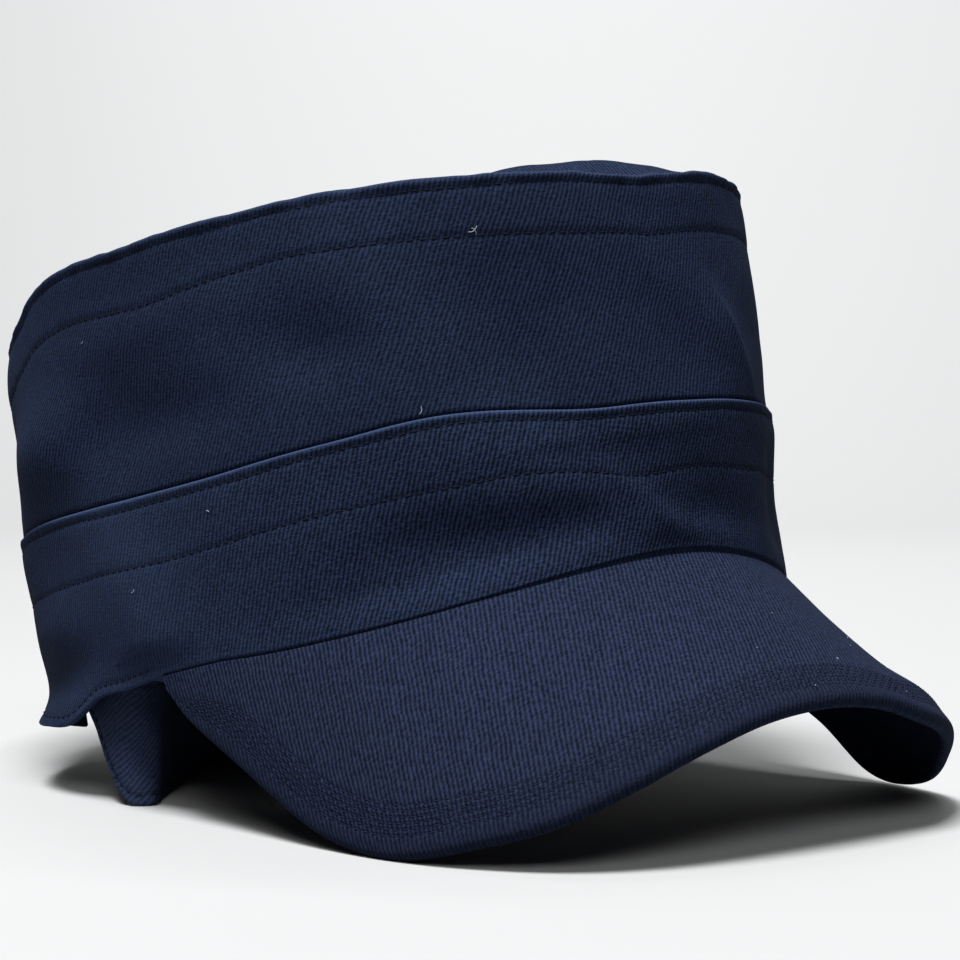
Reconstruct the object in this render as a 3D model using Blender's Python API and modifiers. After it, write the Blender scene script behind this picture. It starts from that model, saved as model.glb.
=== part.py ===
"""Castro cap in navy cotton twill, at its real size, lying on a table.

Millimetres in the tables, metres in the model, +Z up. The peak points to -Y.
The cap is shaped in its own level frame (hem plane at height 0, centre of the
head opening at x = y = 0) and then hung under an empty that leans it back and
lifts it, so that it lies on the two peak tips and on its back strap. The
origin of the model is the middle of the cap's footprint, on the table.
"""
import math

import bmesh
import bpy
import numpy as np
from mathutils import Matrix, Vector

MM = 0.001

# ---------------------------------------------------------------- lying pose
LEAN_BACK_DEG = 13.2      # the cap leans back, its front is raised
HEM_LIFT = 27.45          # height of the level frame's origin over the table
FOOTPRINT_X = -0.65       # the middle of the footprint under the hung cap
FOOTPRINT_Y = -12.97
PRESSED_FLAT = 0.45       # cloth lower than this over the table is pressed flat

# ------------------------------------------------------------ walls and gaps
WALL_T = 1.4              # crown wall and top panel, lined twill
BAND_T = 2.0              # band, twill turned over
PEAK_T = 3.6              # peak, board wrapped in twill
PEAK_RIM = 1.2            # rounding of the peak's rim
STRAP_T = 2.2             # strap, two layers
GAP = 0.3                 # clearance between neighbouring pieces
SEAM_GAP = 0.8            # the band's edge over the peak's rounded rim

# ------------------------------------------------------------- body outlines
# Superellipse rings, seen from above in the level frame.
#   name         height  half_width  half_length  centre_y
RINGS = (
    ("hem",         0.0,      82.11,      95.65,     0.75),
    ("band_top",   46.3,      82.65,      99.43,     0.10),
    ("crown_top",  98.3,      83.80,      95.87,    -5.30),
)
SQUARENESS = 2.3
TOP_RISE = 0.05           # the top edge rises towards the back, mm per mm
BAND_PROUD = 1.0          # the band stands this much outside the crown wall
WALL_BEHIND_BAND = 8.0    # overlap of the crown wall behind the band
WALL_STEP = 3.5           # height over which the wall steps out over the band
TOP_SEAM_DEPTH = 1.8      # the top panel is sewn in this far below the edge
TOP_DOME = 4.5            # rise of the top panel's middle over its edge

# Lower and upper edge round the slack back half, seen from above: 0 is the
# wearer's left, 90 the back, 180 the wearer's right. hem is the height of the
# band's lower edge, fall is how far the crown's top edge sags.
#   name          around   hem   fall
BACK_EDGES = (
    ("front_end",  -90.0,   4.2,  -0.5),
    ("front_left", -75.0,   4.1,  -2.9),
    ("left_front", -60.0,   4.0,  -3.2),
    ("left_side",  -40.0,   4.1,  -1.3),
    ("left_corner", -3.0,   4.2,   0.1),
    ("left",        12.0,   3.2,   0.5),
    ("left_back",   40.0,   1.0,   5.0),
    ("back_left",   70.0,  -1.0,   9.0),
    ("back",        95.0,  -1.5,  11.5),
    ("back_right", 120.0,   1.0,  13.5),
    ("right_back", 143.0,   1.6,   9.8),
    ("right_slack", 152.0, -0.6,   7.1),
    ("right_pull", 159.0,  -1.8,   2.8),
    ("right_neck", 167.0,   2.6,   0.4),
    ("right",      175.0,   2.9,   0.0),
    ("right_corner", 183.0, 3.8,   0.3),
    ("right_front", 200.0,  4.2,   0.0),
    ("front",      270.0,   4.2,  -0.5),
)

# opening over the strap at the back
ARCH_HALF_WIDTH = 42.0
ARCH_HEIGHT = 54.0

# Folds and dents of the slack cloth: a smooth push in or out of the wall.
# around is the angle seen from above, 180 the wearer's right side, 270 front.
#   name            around  height   out   spread_around  spread_up
DENTS = (
    ("hem_flare",      148,    -2,   5.2,        13,          7),
    ("hem_neck",       152,    11,  -1.6,        15,          6),
    ("back_swell",     134,    85,   2.0,        24,         14),
    ("back_fold",      160,    64,   5.4,        12,         12),
    ("back_fold_low",  150,    52,   0.8,        12,          9),
    ("band_back",      150,    40,   0.6,        16,          8),
    ("band_back_low",  156,    22,   1.2,        12,          8),
    ("band_hollow",    232,    23,  -2.4,        13,          8),
    ("band_hollow_2",  252,    24,  -1.6,        10,          6),
    ("crown_dent",     240,    72,  -2.0,        11,         13),
    ("crown_swell",    208,    70,   1.6,        17,         16),
    ("crown_side",     300,    78,   1.5,        12,         12),
    ("corner_out",     312,    94,   0.8,        14,          9),
    ("side_mid",       306,    62,   0.5,        14,         10),
    ("band_side",      308,    26,  -0.7,        14,          8),
    ("band_side_top",  306,    42,   0.8,        12,          6),
    ("crown_fold",     286,    64,   1.2,         7,         10),
    ("right_swell",     20,    66,   1.8,        22,         18),
    ("back_dent",       75,    76,  -3.0,        15,         12),
)
# Puffs of the top panel: share of the way out from the middle, height.
#   name            around  outward   up   spread_around  spread_outward
PUFFS = (
    ("front_puff",     270,    0.86,   7.0,        16,         0.10),
    ("front_puff_r",   252,    0.90,   2.8,         9,         0.08),
    ("front_puff_l",   290,    0.90,   2.7,        10,         0.08),
    ("left_hollow",    190,    0.60,  -2.5,        35,         0.25),
    ("back_hollow",     80,    0.65,  -4.0,        40,         0.25),
)
# Folds drawn out along one direction: a push out of the wall, both pieces
# moving together. tilt 0 runs level, 90 upright; sizes in mm.
#   name           around  height   out   long  wide  tilt
FOLDS = (
    ("side_corner",    182,    14,   2.4,   33,   12,   -65),
    ("side_roll",      185,    83,   0.9,   32,    7,     0),
    ("side_pocket",    185,    61,  -1.8,   29,    9,    -4),
    ("side_valley",    214,    68,  -2.4,   18,    9,   -16),
    ("upright_swell",  221,    78,   2.4,   34,   12,   -74),
    ("hollow_low",     232,    14,  -2.4,   38,   12,    16),
    ("band_roll",      243,    26,   1.7,   37,    6,     0),
    ("main_valley",    244,    58,  -2.0,   22,   12,    25),
    ("front_valley",   251,    42,  -2.4,   24,   11,   -42),
    ("seam_roll",      266,    16,   2.4,   27,    7,   -23),
    ("seam_hollow",    272,    20,  -1.1,   39,    7,    -1),
    ("front_ridge",    278,    69,   1.3,   28,    8,   -36),
    ("front_swell",    281,    46,   1.6,   40,   12,    14),
    ("left_groove",    302,    20,  -1.6,   26,    9,    89),
)
FOLDS_MM_PER_DEG = 1.64   # way round the wall for a degree of the body
FOLDS_FADE = (4.0, 9.0, 35.0, 9.0)   # hem's height at the side, its rise in front, its spread, fade

# ---------------------------------------------------------------------- peak
# The peak is a flat crescent bent over an elliptical arch whose straight
# lines run forward and down.
PEAK_DROOP_DEG = 46.0
PEAK_SEAM_HEIGHT = 12.8   # the seam's top, at the front centre
ARCH_X = 82.06            # half width of the bend
ARCH_N = 70.94            # rise of the bend
SEAM_LEVEL_FROM = 0.87    # the seam runs level from here, share of the way to the corner
SEAM_CORNER = 3.5         # height of the seam's corners
# Outline of the crescent: across is measured around the bend, along from the
# seam's front centre. The wearer's right half first, then the left half.
#   name          across_r  along_r  across_l  along_l
PEAK_OUTLINE = (
    ("front",          0.0,    54.1,      0.0,    54.1),
    ("front_2",       20.0,    53.8,     16.0,    55.2),
    ("front_quarter", 39.6,    54.2,     32.0,    57.2),
    ("shoulder",      58.3,    53.2,     54.0,    53.4),
    ("shoulder_2",      75.6,    48.6,     72.1,    48.7),
    ("tip_front",       93.0,    37.2,     87.9,    43.4),
    ("tip",            104.2,    27.2,     98.8,    33.6),
    ("tip_side",       111.0,    16.8,    102.8,    23.7),
    ("side_low",       116.4,     2.4,    101.4,     5.7),
    ("side",           120.2,   -22.0,    106.1,   -20.7),
    ("side_back",    122.8,   -42.0,    115.5,   -42.0),
    ("corner",       121.6,   -53.5,    121.2,   -53.5),
)
# Waves of the stiff peak: a smooth push off the bend.
#   name            across  along   out  spread_across  spread_along
PEAK_WAVES = (
    ("left_bulge",      50,    45,   1.9,      16,           6.4),
    ("left_flat",       46,    18,  -0.75,     14,          18),
)

# --------------------------------------------------------------------- strap
# The closing strap, fastened and slack: it leaves the band inside the right
# rear, comes forward and down to the table, turns back on itself and runs
# across under the cap to the other side of the opening. In the table's frame.
#   name          low_x  low_y  low_z   up_x   up_y   up_z
STRAP = (
    ("sewn_end",  -57.0,  66.0,  22.0, -60.0,  58.0,  48.0),
    ("wall_run",  -67.5,  48.0,  22.5, -69.5,  39.0,  48.0),
    ("plunge",    -73.5,  33.0,  16.5, -73.0,  25.0,  41.0),
    ("drop",      -76.3,  23.0,   6.5, -74.5,  18.0,  33.5),
    ("fold",      -76.6,  15.4,   0.0, -73.5,  14.5,  30.4),
    ("turn",      -73.0,  12.4,   0.0, -69.0,  14.5,  31.0),
    ("away",      -67.5,  17.5,   0.0, -64.0,  19.5,  31.0),
    ("diagonal",  -40.0,  42.5,   0.0, -38.0,  42.5,  29.0),
    ("diagonal_2", -12.0, 66.5,   0.0, -11.0,  65.0,  28.0),
    ("rear",       13.0,  81.5,   0.0,  12.5,  79.5,  28.0),
    ("rear_2",     34.0,  80.5,   0.0,  33.5,  78.5,  28.5),
    ("sewn_end_2", 53.0,  67.5,   0.5,  51.5,  66.5,  29.0),
)

# ------------------------------------------------------------------ fineness
AROUND = 64               # columns round the body
CROWN_ROWS, BAND_ROWS, TOP_RINGS = 7, 5, 6
PEAK_COLUMNS, PEAK_ROWS = 42, 8
STRAP_COLUMNS, STRAP_ROWS = 40, 2

FRONT = math.radians(270.0)


# --------------------------------------------------------------- small maths
def smooth(x, low, high):
    """0 below low, 1 above high, smooth between."""
    k = min(max((x - low) / (high - low), 0.0), 1.0)
    return k * k * (3.0 - 2.0 * k)


def angle_gap(a, b):
    """Signed gap between two angles in degrees."""
    return (a - b + 180.0) % 360.0 - 180.0


def curve_through(values, u):
    """Smooth curve through rows of numbers, spaced by chord length, u 0..1."""
    pts = np.array(values, float)
    knots = np.concatenate([[0.0], np.cumsum(np.linalg.norm(np.diff(pts, axis=0), axis=1))])
    x = u * knots[-1]
    i = int(min(max(np.searchsorted(knots, x) - 1, 0), len(pts) - 2))
    slopes = []
    for j in (i, i + 1):
        a, b = max(j - 1, 0), min(j + 1, len(pts) - 1)
        slopes.append((pts[b] - pts[a]) / (knots[b] - knots[a]))
    h = knots[i + 1] - knots[i]
    k = (x - knots[i]) / h
    return ((2 * k**3 - 3 * k**2 + 1) * pts[i] + (k**3 - 2 * k**2 + k) * h * slopes[0]
            + (3 * k**2 - 2 * k**3) * pts[i + 1] + (k**3 - k**2) * h * slopes[1])


def height_through(column, deg):
    """Smooth curve through one column of BACK_EDGES, at an angle in degrees."""
    xs = [r[1] for r in BACK_EDGES]
    ys = [r[column] for r in BACK_EDGES]
    x = (deg + 90.0) % 360.0 - 90.0
    if x <= xs[0] or x >= xs[-1]:
        return ys[0] if x <= xs[0] else ys[-1]
    i = max(j for j in range(len(xs) - 1) if xs[j] <= x)
    slope = []
    for j in (i, i + 1):
        a, b = max(j - 1, 0), min(j + 1, len(xs) - 1)
        slope.append((ys[b] - ys[a]) / (xs[b] - xs[a]))
    h = xs[i + 1] - xs[i]
    k = (x - xs[i]) / h
    return ((2 * k**3 - 3 * k**2 + 1) * ys[i] + (k**3 - 2 * k**2 + k) * h * slope[0]
            + (3 * k**2 - 2 * k**3) * ys[i + 1] + (k**3 - k**2) * h * slope[1])


# ------------------------------------------------------------ the body's form
def ring_sizes(k):
    """Half width, half length, centre_y; k 0 hem, 1 band top, 2 crown top."""
    i = 0 if k < 1.0 else 1
    f = k - i
    low, high = RINGS[i], RINGS[i + 1]
    return [low[c] + (high[c] - low[c]) * f for c in (2, 3, 4)]


def top_height(t):
    """Height of the crown's top edge at the angle t."""
    _, height, _, half_length, _ = RINGS[2]
    z = height + TOP_RISE * half_length * (math.sin(t) + 1.0)
    return z - height_through(3, math.degrees(t))


def folded(deg, z):
    """Push of the folds, none at the hem and where the peak is sewn on."""
    out = 0.0
    for _, around, height, push, long_, wide, tilt in FOLDS:
        du, dz = angle_gap(deg, around) * FOLDS_MM_PER_DEG, z - height
        c, s = math.cos(math.radians(tilt)), math.sin(math.radians(tilt))
        along, across = du * c + dz * s, -du * s + dz * c
        out += push * math.exp(-(along / long_) ** 2 - (across / wide) ** 2)
    side, rise, spread, fade = FOLDS_FADE
    low = side + rise * math.exp(-(angle_gap(deg, 270.0) / spread) ** 2)
    return out * smooth(z - low, 0.0, fade)


def body(t, z, inset=0.0):
    """Point of the body's outer form at angle t and height z, moved in by inset."""
    band_top = RINGS[1][1]
    if z <= band_top:
        k = z / band_top
    else:
        k = 1.0 + (z - band_top) / (top_height(t) - band_top)
    a, b, yc = ring_sizes(k)
    c, s = math.cos(t), math.sin(t)
    q = (abs(c) ** SQUARENESS + abs(s) ** SQUARENESS) ** (-1.0 / SQUARENESS)
    out = -inset
    deg = math.degrees(t)
    for _, around, height, push, spread_a, spread_z in DENTS:
        da = angle_gap(deg, around) / spread_a
        dz = (z - height) / spread_z
        out += push * math.exp(-(da * da + dz * dz))
    out += folded(deg, z)
    nx, ny = c / a, s / b
    n = math.hypot(nx, ny)
    return np.array([a * c * q + out * nx / n, yc + b * s * q + out * ny / n, z])


# -------------------------------------------------------------------- peak
DROOP = math.radians(PEAK_DROOP_DEG)
SEAM_Y = RINGS[0][4] - RINGS[0][3]
_A = np.linspace(0.0, math.radians(112.0), 449)
_S = np.concatenate([[0.0], np.cumsum(
    np.hypot(*(0.5 * (np.array([ARCH_X * np.cos(_A), ARCH_N * np.sin(_A)])[:, 1:]
               + np.array([ARCH_X * np.cos(_A), ARCH_N * np.sin(_A)])[:, :-1]))) * np.diff(_A))])
QUARTER = float(np.interp(math.radians(90.0), _A, _S))


def on_bend(across, along, lift=0.0):
    """Point of the bent crescent; lift moves it off the surface, outwards."""
    al = math.copysign(float(np.interp(abs(across), _S, _A)), across)
    for _, w, l, out, spread_w, spread_l in PEAK_WAVES:
        lift += out * math.exp(-((across - w) / spread_w) ** 2 - ((along - l) / spread_l) ** 2)
    tx, tn = ARCH_X * math.cos(al), -ARCH_N * math.sin(al)
    m = math.hypot(tx, tn)
    x = ARCH_X * math.sin(al) - lift * tn / m
    n = ARCH_N * (math.cos(al) - 1.0) + lift * tx / m
    return np.array([x, SEAM_Y - along * math.cos(DROOP) - n * math.sin(DROOP),
                     PEAK_SEAM_HEIGHT - along * math.sin(DROOP) + n * math.cos(DROOP)])


def seam_along(across):
    """Where the crescent meets the body's hem ring, for one place across."""
    _, _, a, b, yc = RINGS[0]
    low, high = -110.0, 30.0
    for _ in range(48):
        mid = 0.5 * (low + high)
        x, y, _z = on_bend(across, mid)
        hem_y = yc - b * max(1.0 - min(abs(x) / a, 1.0) ** SQUARENESS, 0.0) ** (1.0 / SQUARENESS)
        if y > hem_y:
            low = mid
        else:
            high = mid
    return 0.5 * (low + high)


def seam_point(share):
    """Point of the peak's seam, share -1 wearer's right corner, 1 left corner.

    Beside the corners the seam runs level, up to where the arch starts to rise.
    """
    across = share * QUARTER
    along = seam_along(across)
    if abs(share) > SEAM_LEVEL_FROM:
        inner = SEAM_LEVEL_FROM * QUARTER
        start = on_bend(inner, seam_along(inner))[2]
        k = (abs(share) - SEAM_LEVEL_FROM) / (1.0 - SEAM_LEVEL_FROM)
        level = start + (SEAM_CORNER - start) * k
        along += max(on_bend(across, along)[2] - level, 0.0) / math.sin(DROOP)
    return across, along


SEAM = [on_bend(*seam_point(s)) for s in np.linspace(-1.0, 1.0, 81)]


def peak_point(share, out):
    """share -1..1 along the seam, out 0 at the seam to 1 at the outer edge."""
    column = 1 if share < 0 else 3
    rows = [(r[column], r[column + 1]) for r in PEAK_OUTLINE]
    w, l = curve_through(rows, abs(share))
    w *= -1.0 if share < 0 else 1.0
    wa, la = seam_point(share)
    la -= 0.5 * PEAK_RIM
    return on_bend(wa + (w - wa) * out, la + (l - la) * out)


# ---------------------------------------------------------------------- hem
def hem_height(t):
    """Height of the band's lower edge at the angle t."""
    x, y, _ = body(t, 0.0)
    corner = SEAM[0]
    if y < corner[1]:
        a, b, yc = ring_sizes(0.0)
        angles = [math.atan2((p[1] - yc) / b, p[0] / a) % (2 * math.pi) for p in SEAM]
        return float(np.interp(t % (2 * math.pi), angles, [p[2] for p in SEAM])) + SEAM_GAP
    return height_through(2, math.degrees(t))


def arch_height(x):
    """Top of the back opening over the place x, or None beside it."""
    if abs(x) >= ARCH_HALF_WIDTH:
        return None
    return ARCH_HEIGHT * math.sqrt(1.0 - (x / ARCH_HALF_WIDTH) ** 2)


def arch_angle(z, side, reach=0.0):
    """Angle of the opening's edge at height z; side 1 is +X, -1 is -X."""
    z = min(max(z, 0.0), ARCH_HEIGHT - 0.001)
    half = ARCH_HALF_WIDTH * math.sqrt(1.0 - (z / ARCH_HEIGHT) ** 2) + reach
    low, high = math.radians(20.0), math.radians(90.0)
    for _ in range(40):
        mid = 0.5 * (low + high)
        if body(mid, z)[0] > half:
            low = mid
        else:
            high = mid
    return mid if side > 0 else math.pi - mid


# ----------------------------------------------------------------- building
def clear():
    for o in list(bpy.data.objects):
        bpy.data.objects.remove(o, do_unlink=True)


def cloth(name, colour, roughness):
    m = bpy.data.materials.new(name)
    m.use_nodes = True
    p = m.node_tree.nodes["Principled BSDF"]
    p.inputs["Base Color"].default_value = (*colour, 1.0)
    p.inputs["Roughness"].default_value = roughness
    p.inputs["Metallic"].default_value = 0.0
    return m


def surface(name, columns, rows, place, collection, material, closed=False):
    """An open sheet of columns by rows quads; place(u, v) gives millimetres."""
    bm = bmesh.new()
    bmesh.ops.create_grid(bm, x_segments=columns, y_segments=rows, size=1.0)
    for v in bm.verts:
        u, w = 0.5 * (v.co.x + 1.0), 0.5 * (v.co.y + 1.0)
        v.co = Vector([c * MM for c in place(u, w)])
    if closed:
        bmesh.ops.remove_doubles(bm, verts=bm.verts, dist=0.00002)
    mesh = bpy.data.meshes.new(name)
    bm.to_mesh(mesh)
    bm.free()
    mesh.shade_smooth()
    mesh.materials.append(material)
    o = bpy.data.objects.new(name, mesh)
    collection.objects.link(o)
    return o


def thicken(o, thickness, offset, edge=0.0):
    """Give a sheet its thickness, and round its rim by edge."""
    m = o.modifiers.new("thickness", "SOLIDIFY")
    m.thickness = thickness * MM
    m.offset = offset
    m.use_even_offset = True
    m.use_quality_normals = True
    if edge:
        b = o.modifiers.new("rim", "BEVEL")
        b.width = edge * MM
        b.segments = 2
        b.limit_method = "ANGLE"
        b.angle_limit = math.radians(50.0)


def press_on_table(o, to_table):
    """Apply the thickness and press the cloth that meets the table flat."""
    bpy.context.view_layer.update()
    done = bpy.data.meshes.new_from_object(o.evaluated_get(bpy.context.evaluated_depsgraph_get()))
    back = to_table.inverted()
    for v in done.vertices:
        p = to_table @ v.co
        if p.z < PRESSED_FLAT * MM:
            p.z = 0.0
            v.co = back @ p
    o.modifiers.clear()
    o.data = done


def build():
    clear()
    cap = bpy.data.collections.new("castro_cap")
    bpy.context.scene.collection.children.link(cap)
    twill = cloth("navy_twill", (0.016, 0.022, 0.045), 0.85)
    twill_peak = cloth("navy_twill_peak", (0.020, 0.028, 0.055), 0.82)
    twill_strap = cloth("navy_twill_strap", (0.014, 0.019, 0.038), 0.88)

    table = bpy.data.objects.new("footprint", None)
    cap.objects.link(table)
    table.location = (-FOOTPRINT_X * MM, -FOOTPRINT_Y * MM, 0.0)
    lean = bpy.data.objects.new("lean", None)
    cap.objects.link(lean)
    lean.parent = table
    lean.location = (0.0, 0.0, HEM_LIFT * MM)
    lean.rotation_euler = (-math.radians(LEAN_BACK_DEG), 0.0, 0.0)
    leaning = Matrix.Translation(lean.location) @ Matrix.Rotation(-math.radians(LEAN_BACK_DEG), 4, "X")

    # crown wall: from behind the band up to the top edge, all the way round
    band_top = RINGS[1][1]

    def crown(u, v):
        t = 2.0 * math.pi * u
        x = body(t, band_top)[0]
        low = band_top - WALL_BEHIND_BAND
        arch = arch_height(x) if math.sin(t) > 0 else None
        if arch is not None:
            low = max(low, arch)
        high = max(band_top + WALL_STEP, low + WALL_STEP + 0.3)
        row = round(v * CROWN_ROWS)
        if row < 3:
            z = (low, max(band_top + 0.5, low + 1.2), high)[row]
        else:
            z = high + (top_height(t) - high) * (row - 2) / (CROWN_ROWS - 2)
        behind = 1.0 - smooth(z, band_top + 0.5, band_top + WALL_STEP)
        return body(t, z, inset=BAND_PROUD + behind * (BAND_T + 2.4 * GAP - BAND_PROUD))

    o = surface("crown_wall", AROUND, CROWN_ROWS, crown, cap, twill, closed=True)
    thicken(o, WALL_T, -1.0)
    o.parent = lean

    # band: an open strip whose ends follow the edge of the back opening
    def band(u, v):
        z_end = hem_height(math.radians(66.0)) * (1.0 - v) + band_top * v
        t0 = arch_angle(z_end, -1)
        t1 = arch_angle(z_end, 1) + 2.0 * math.pi
        t = t0 + (t1 - t0) * u
        low = hem_height(t)
        return body(t, low + (band_top - low) * v)

    o = surface("band", AROUND, BAND_ROWS, band, cap, twill)
    thicken(o, BAND_T, -1.0, edge=0.5)
    o.parent = lean

    # top panel: sewn in just under the crown wall's edge, slightly domed
    def top(u, v):
        t = 2.0 * math.pi * u
        edge = body(t, top_height(t) - TOP_SEAM_DEPTH, inset=BAND_PROUD + WALL_T + GAP)
        mid = np.array([0.0, RINGS[2][4], 0.0])
        p = mid + (edge - mid) * v
        mean = RINGS[2][1] - TOP_SEAM_DEPTH + 1.0
        p[2] = edge[2] * v * v + mean * (1.0 - v * v) + TOP_DOME * (1.0 - v ** 4)
        for _, around, outward, up, spread_a, spread_o in PUFFS:
            da = angle_gap(math.degrees(t), around) / spread_a
            do = (v - outward) / spread_o
            p[2] += up * math.exp(-(da * da + do * do)) * (1.0 - v ** 12)
        return p

    o = surface("top_panel", AROUND, TOP_RINGS, top, cap, twill, closed=True)
    thicken(o, WALL_T, 1.0)
    o.parent = lean

    # peak
    def peak(u, v):
        return peak_point(2.0 * u - 1.0, v)

    o = surface("peak", PEAK_COLUMNS, PEAK_ROWS, peak, cap, twill_peak)
    thicken(o, PEAK_T, 1.0, edge=PEAK_RIM)
    press_on_table(o, leaning)
    o.parent = lean

    # strap, placed on the table itself
    lows = [r[1:4] for r in STRAP]
    ups = [r[4:7] for r in STRAP]

    def strap(u, v):
        a, b = curve_through(lows, u), curve_through(ups, u)
        return a + (b - a) * v

    o = surface("back_strap", STRAP_COLUMNS, STRAP_ROWS, strap, cap, twill_strap)
    thicken(o, STRAP_T, 0.0)
    press_on_table(o, Matrix.Identity(4))
    o.parent = table


build()
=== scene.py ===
"""Looks for the castro cap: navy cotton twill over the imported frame.

The cloth is laid over the same form as the solids, with the folds, stitch
rows, rolled edges and puckers of the real thing. Millimetres in the tables and
in the cap's own level frame, metres in the scene. No simulation is used.
"""

import math

import bmesh
import bpy
import numpy as np
from mathutils import Matrix, Vector


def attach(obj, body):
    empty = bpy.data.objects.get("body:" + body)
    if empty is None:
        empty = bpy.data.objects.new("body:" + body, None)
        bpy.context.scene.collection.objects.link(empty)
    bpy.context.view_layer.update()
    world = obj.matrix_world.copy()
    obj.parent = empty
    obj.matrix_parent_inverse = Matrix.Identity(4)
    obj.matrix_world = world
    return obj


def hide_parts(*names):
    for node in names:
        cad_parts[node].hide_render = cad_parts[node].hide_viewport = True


MM = 0.001
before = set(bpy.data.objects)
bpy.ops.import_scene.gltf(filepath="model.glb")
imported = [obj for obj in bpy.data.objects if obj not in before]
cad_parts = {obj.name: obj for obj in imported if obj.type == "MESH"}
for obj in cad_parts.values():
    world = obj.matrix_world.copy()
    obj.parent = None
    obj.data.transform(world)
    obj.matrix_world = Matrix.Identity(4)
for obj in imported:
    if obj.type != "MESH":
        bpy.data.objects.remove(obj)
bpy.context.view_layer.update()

# ------------------------------------------------------------ the lying pose
LEAN_BACK_DEG = 13.2
HEM_LIFT = 27.45
FOOTPRINT_X = -0.65
FOOTPRINT_Y = -12.97

# ------------------------------------------------------------ walls and gaps
WALL_T = 1.4
BAND_T = 2.0
PEAK_T = 3.6
PEAK_RIM = 1.2
STRAP_T = 2.2
GAP = 0.3
SEAM_GAP = 0.35           # the band's edge over the peak, seen from outside
SEAM_OPEN = 0.45          # more of it toward the wearer's right corner
SEAM_LEVEL_FROM = 0.87    # share of the way to the corner, from the front
SEAM_CORNER = 3.5

#   name         height  half_width  half_length  centre_y
RINGS = (
    ("hem",         0.0,      82.11,      95.65,     0.75),
    ("band_top",   46.3,      82.65,      99.43,     0.10),
    ("crown_top",  98.3,      83.80,      95.87,    -5.30),
)
SQUARENESS = 2.3
TOP_RISE = 0.05
BAND_PROUD = 1.0
WALL_BEHIND_BAND = 8.0
WALL_STEP = 3.5
TOP_SEAM_DEPTH = 1.8
TOP_DOME = 4.5

#   name          around   hem   fall
BACK_EDGES = (
    ("front_end",  -90.0,   4.2,  -0.5),
    ("front_left", -75.0,   4.1,  -2.9),
    ("left_front", -60.0,   4.0,  -3.2),
    ("left_side",  -40.0,   4.1,  -1.3),
    ("left_corner", -3.0,   4.2,   0.1),
    ("left",        12.0,   3.2,   0.5),
    ("left_back",   40.0,   1.0,   5.0),
    ("back_left",   70.0,  -1.0,   9.0),
    ("back",        95.0,  -1.5,  11.5),
    ("back_right", 120.0,   1.0,  13.5),
    ("right_back", 143.0,   1.6,   9.8),
    ("right_slack", 152.0, -0.6,   7.1),
    ("right_pull", 159.0,  -1.8,   2.8),
    ("right_neck", 167.0,   2.6,   0.4),
    ("right",      175.0,   2.9,   0.0),
    ("right_corner", 183.0, 3.8,   0.3),
    ("right_front", 200.0,  4.2,   0.0),
    ("front",      270.0,   4.2,  -0.5),
)
ARCH_HALF_WIDTH = 42.0
ARCH_HEIGHT = 54.0

#   name            around  height   out   spread_around  spread_up
DENTS = (
    ("hem_flare",      148,    -2,   5.2,        13,          7),
    ("hem_neck",       152,    11,  -1.6,        15,          6),
    ("back_swell",     134,    85,   2.0,        24,         14),
    ("back_fold",      160,    64,   5.4,        12,         12),
    ("back_fold_low",  150,    52,   0.8,        12,          9),
    ("band_back",      150,    40,   0.6,        16,          8),
    ("band_back_low",  156,    22,   1.2,        12,          8),
    ("band_hollow",    232,    23,  -2.4,        13,          8),
    ("band_hollow_2",  252,    24,  -1.6,        10,          6),
    ("crown_dent",     240,    72,  -2.0,        11,         13),
    ("crown_swell",    208,    70,   1.6,        17,         16),
    ("crown_side",     300,    78,   1.5,        12,         12),
    ("corner_out",     312,    94,   0.8,        14,          9),
    ("side_mid",       306,    62,   0.5,        14,         10),
    ("band_side",      308,    26,  -0.7,        14,          8),
    ("band_side_top",  306,    42,   0.8,        12,          6),
    ("crown_fold",     286,    64,   1.2,         7,         10),
    ("right_swell",     20,    66,   1.8,        22,         18),
    ("back_dent",       75,    76,  -3.0,        15,         12),
)
#   name            around  outward   up   spread_around  spread_outward
PUFFS = (
    ("front_puff",     270,    0.86,   7.0,        16,         0.10),
    ("front_puff_r",   252,    0.90,   2.8,         9,         0.08),
    ("front_puff_l",   290,    0.90,   2.7,        10,         0.08),
    ("left_hollow",    190,    0.60,  -2.5,        35,         0.25),
    ("back_hollow",     80,    0.65,  -4.0,        40,         0.25),
)
# Folds drawn out along one direction: a push out of the wall, both pieces
# moving together. tilt 0 runs level, 90 upright; sizes in mm.
#   name           around  height   out   long  wide  tilt
FOLDS = (
    ("side_corner",    182,    14,   2.4,   33,   12,   -65),
    ("side_roll",      185,    83,   0.9,   32,    7,     0),
    ("side_pocket",    185,    61,  -1.8,   29,    9,    -4),
    ("side_valley",    214,    68,  -2.4,   18,    9,   -16),
    ("upright_swell",  221,    78,   2.4,   34,   12,   -74),
    ("hollow_low",     232,    14,  -2.4,   38,   12,    16),
    ("band_roll",      243,    26,   1.7,   37,    6,     0),
    ("main_valley",    244,    58,  -2.0,   22,   12,    25),
    ("front_valley",   251,    42,  -2.4,   24,   11,   -42),
    ("seam_roll",      266,    16,   2.4,   27,    7,   -23),
    ("seam_hollow",    272,    20,  -1.1,   39,    7,    -1),
    ("front_ridge",    278,    69,   1.3,   28,    8,   -36),
    ("front_swell",    281,    46,   1.6,   40,   12,    14),
    ("left_groove",    302,    20,  -1.6,   26,    9,    89),
)
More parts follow.
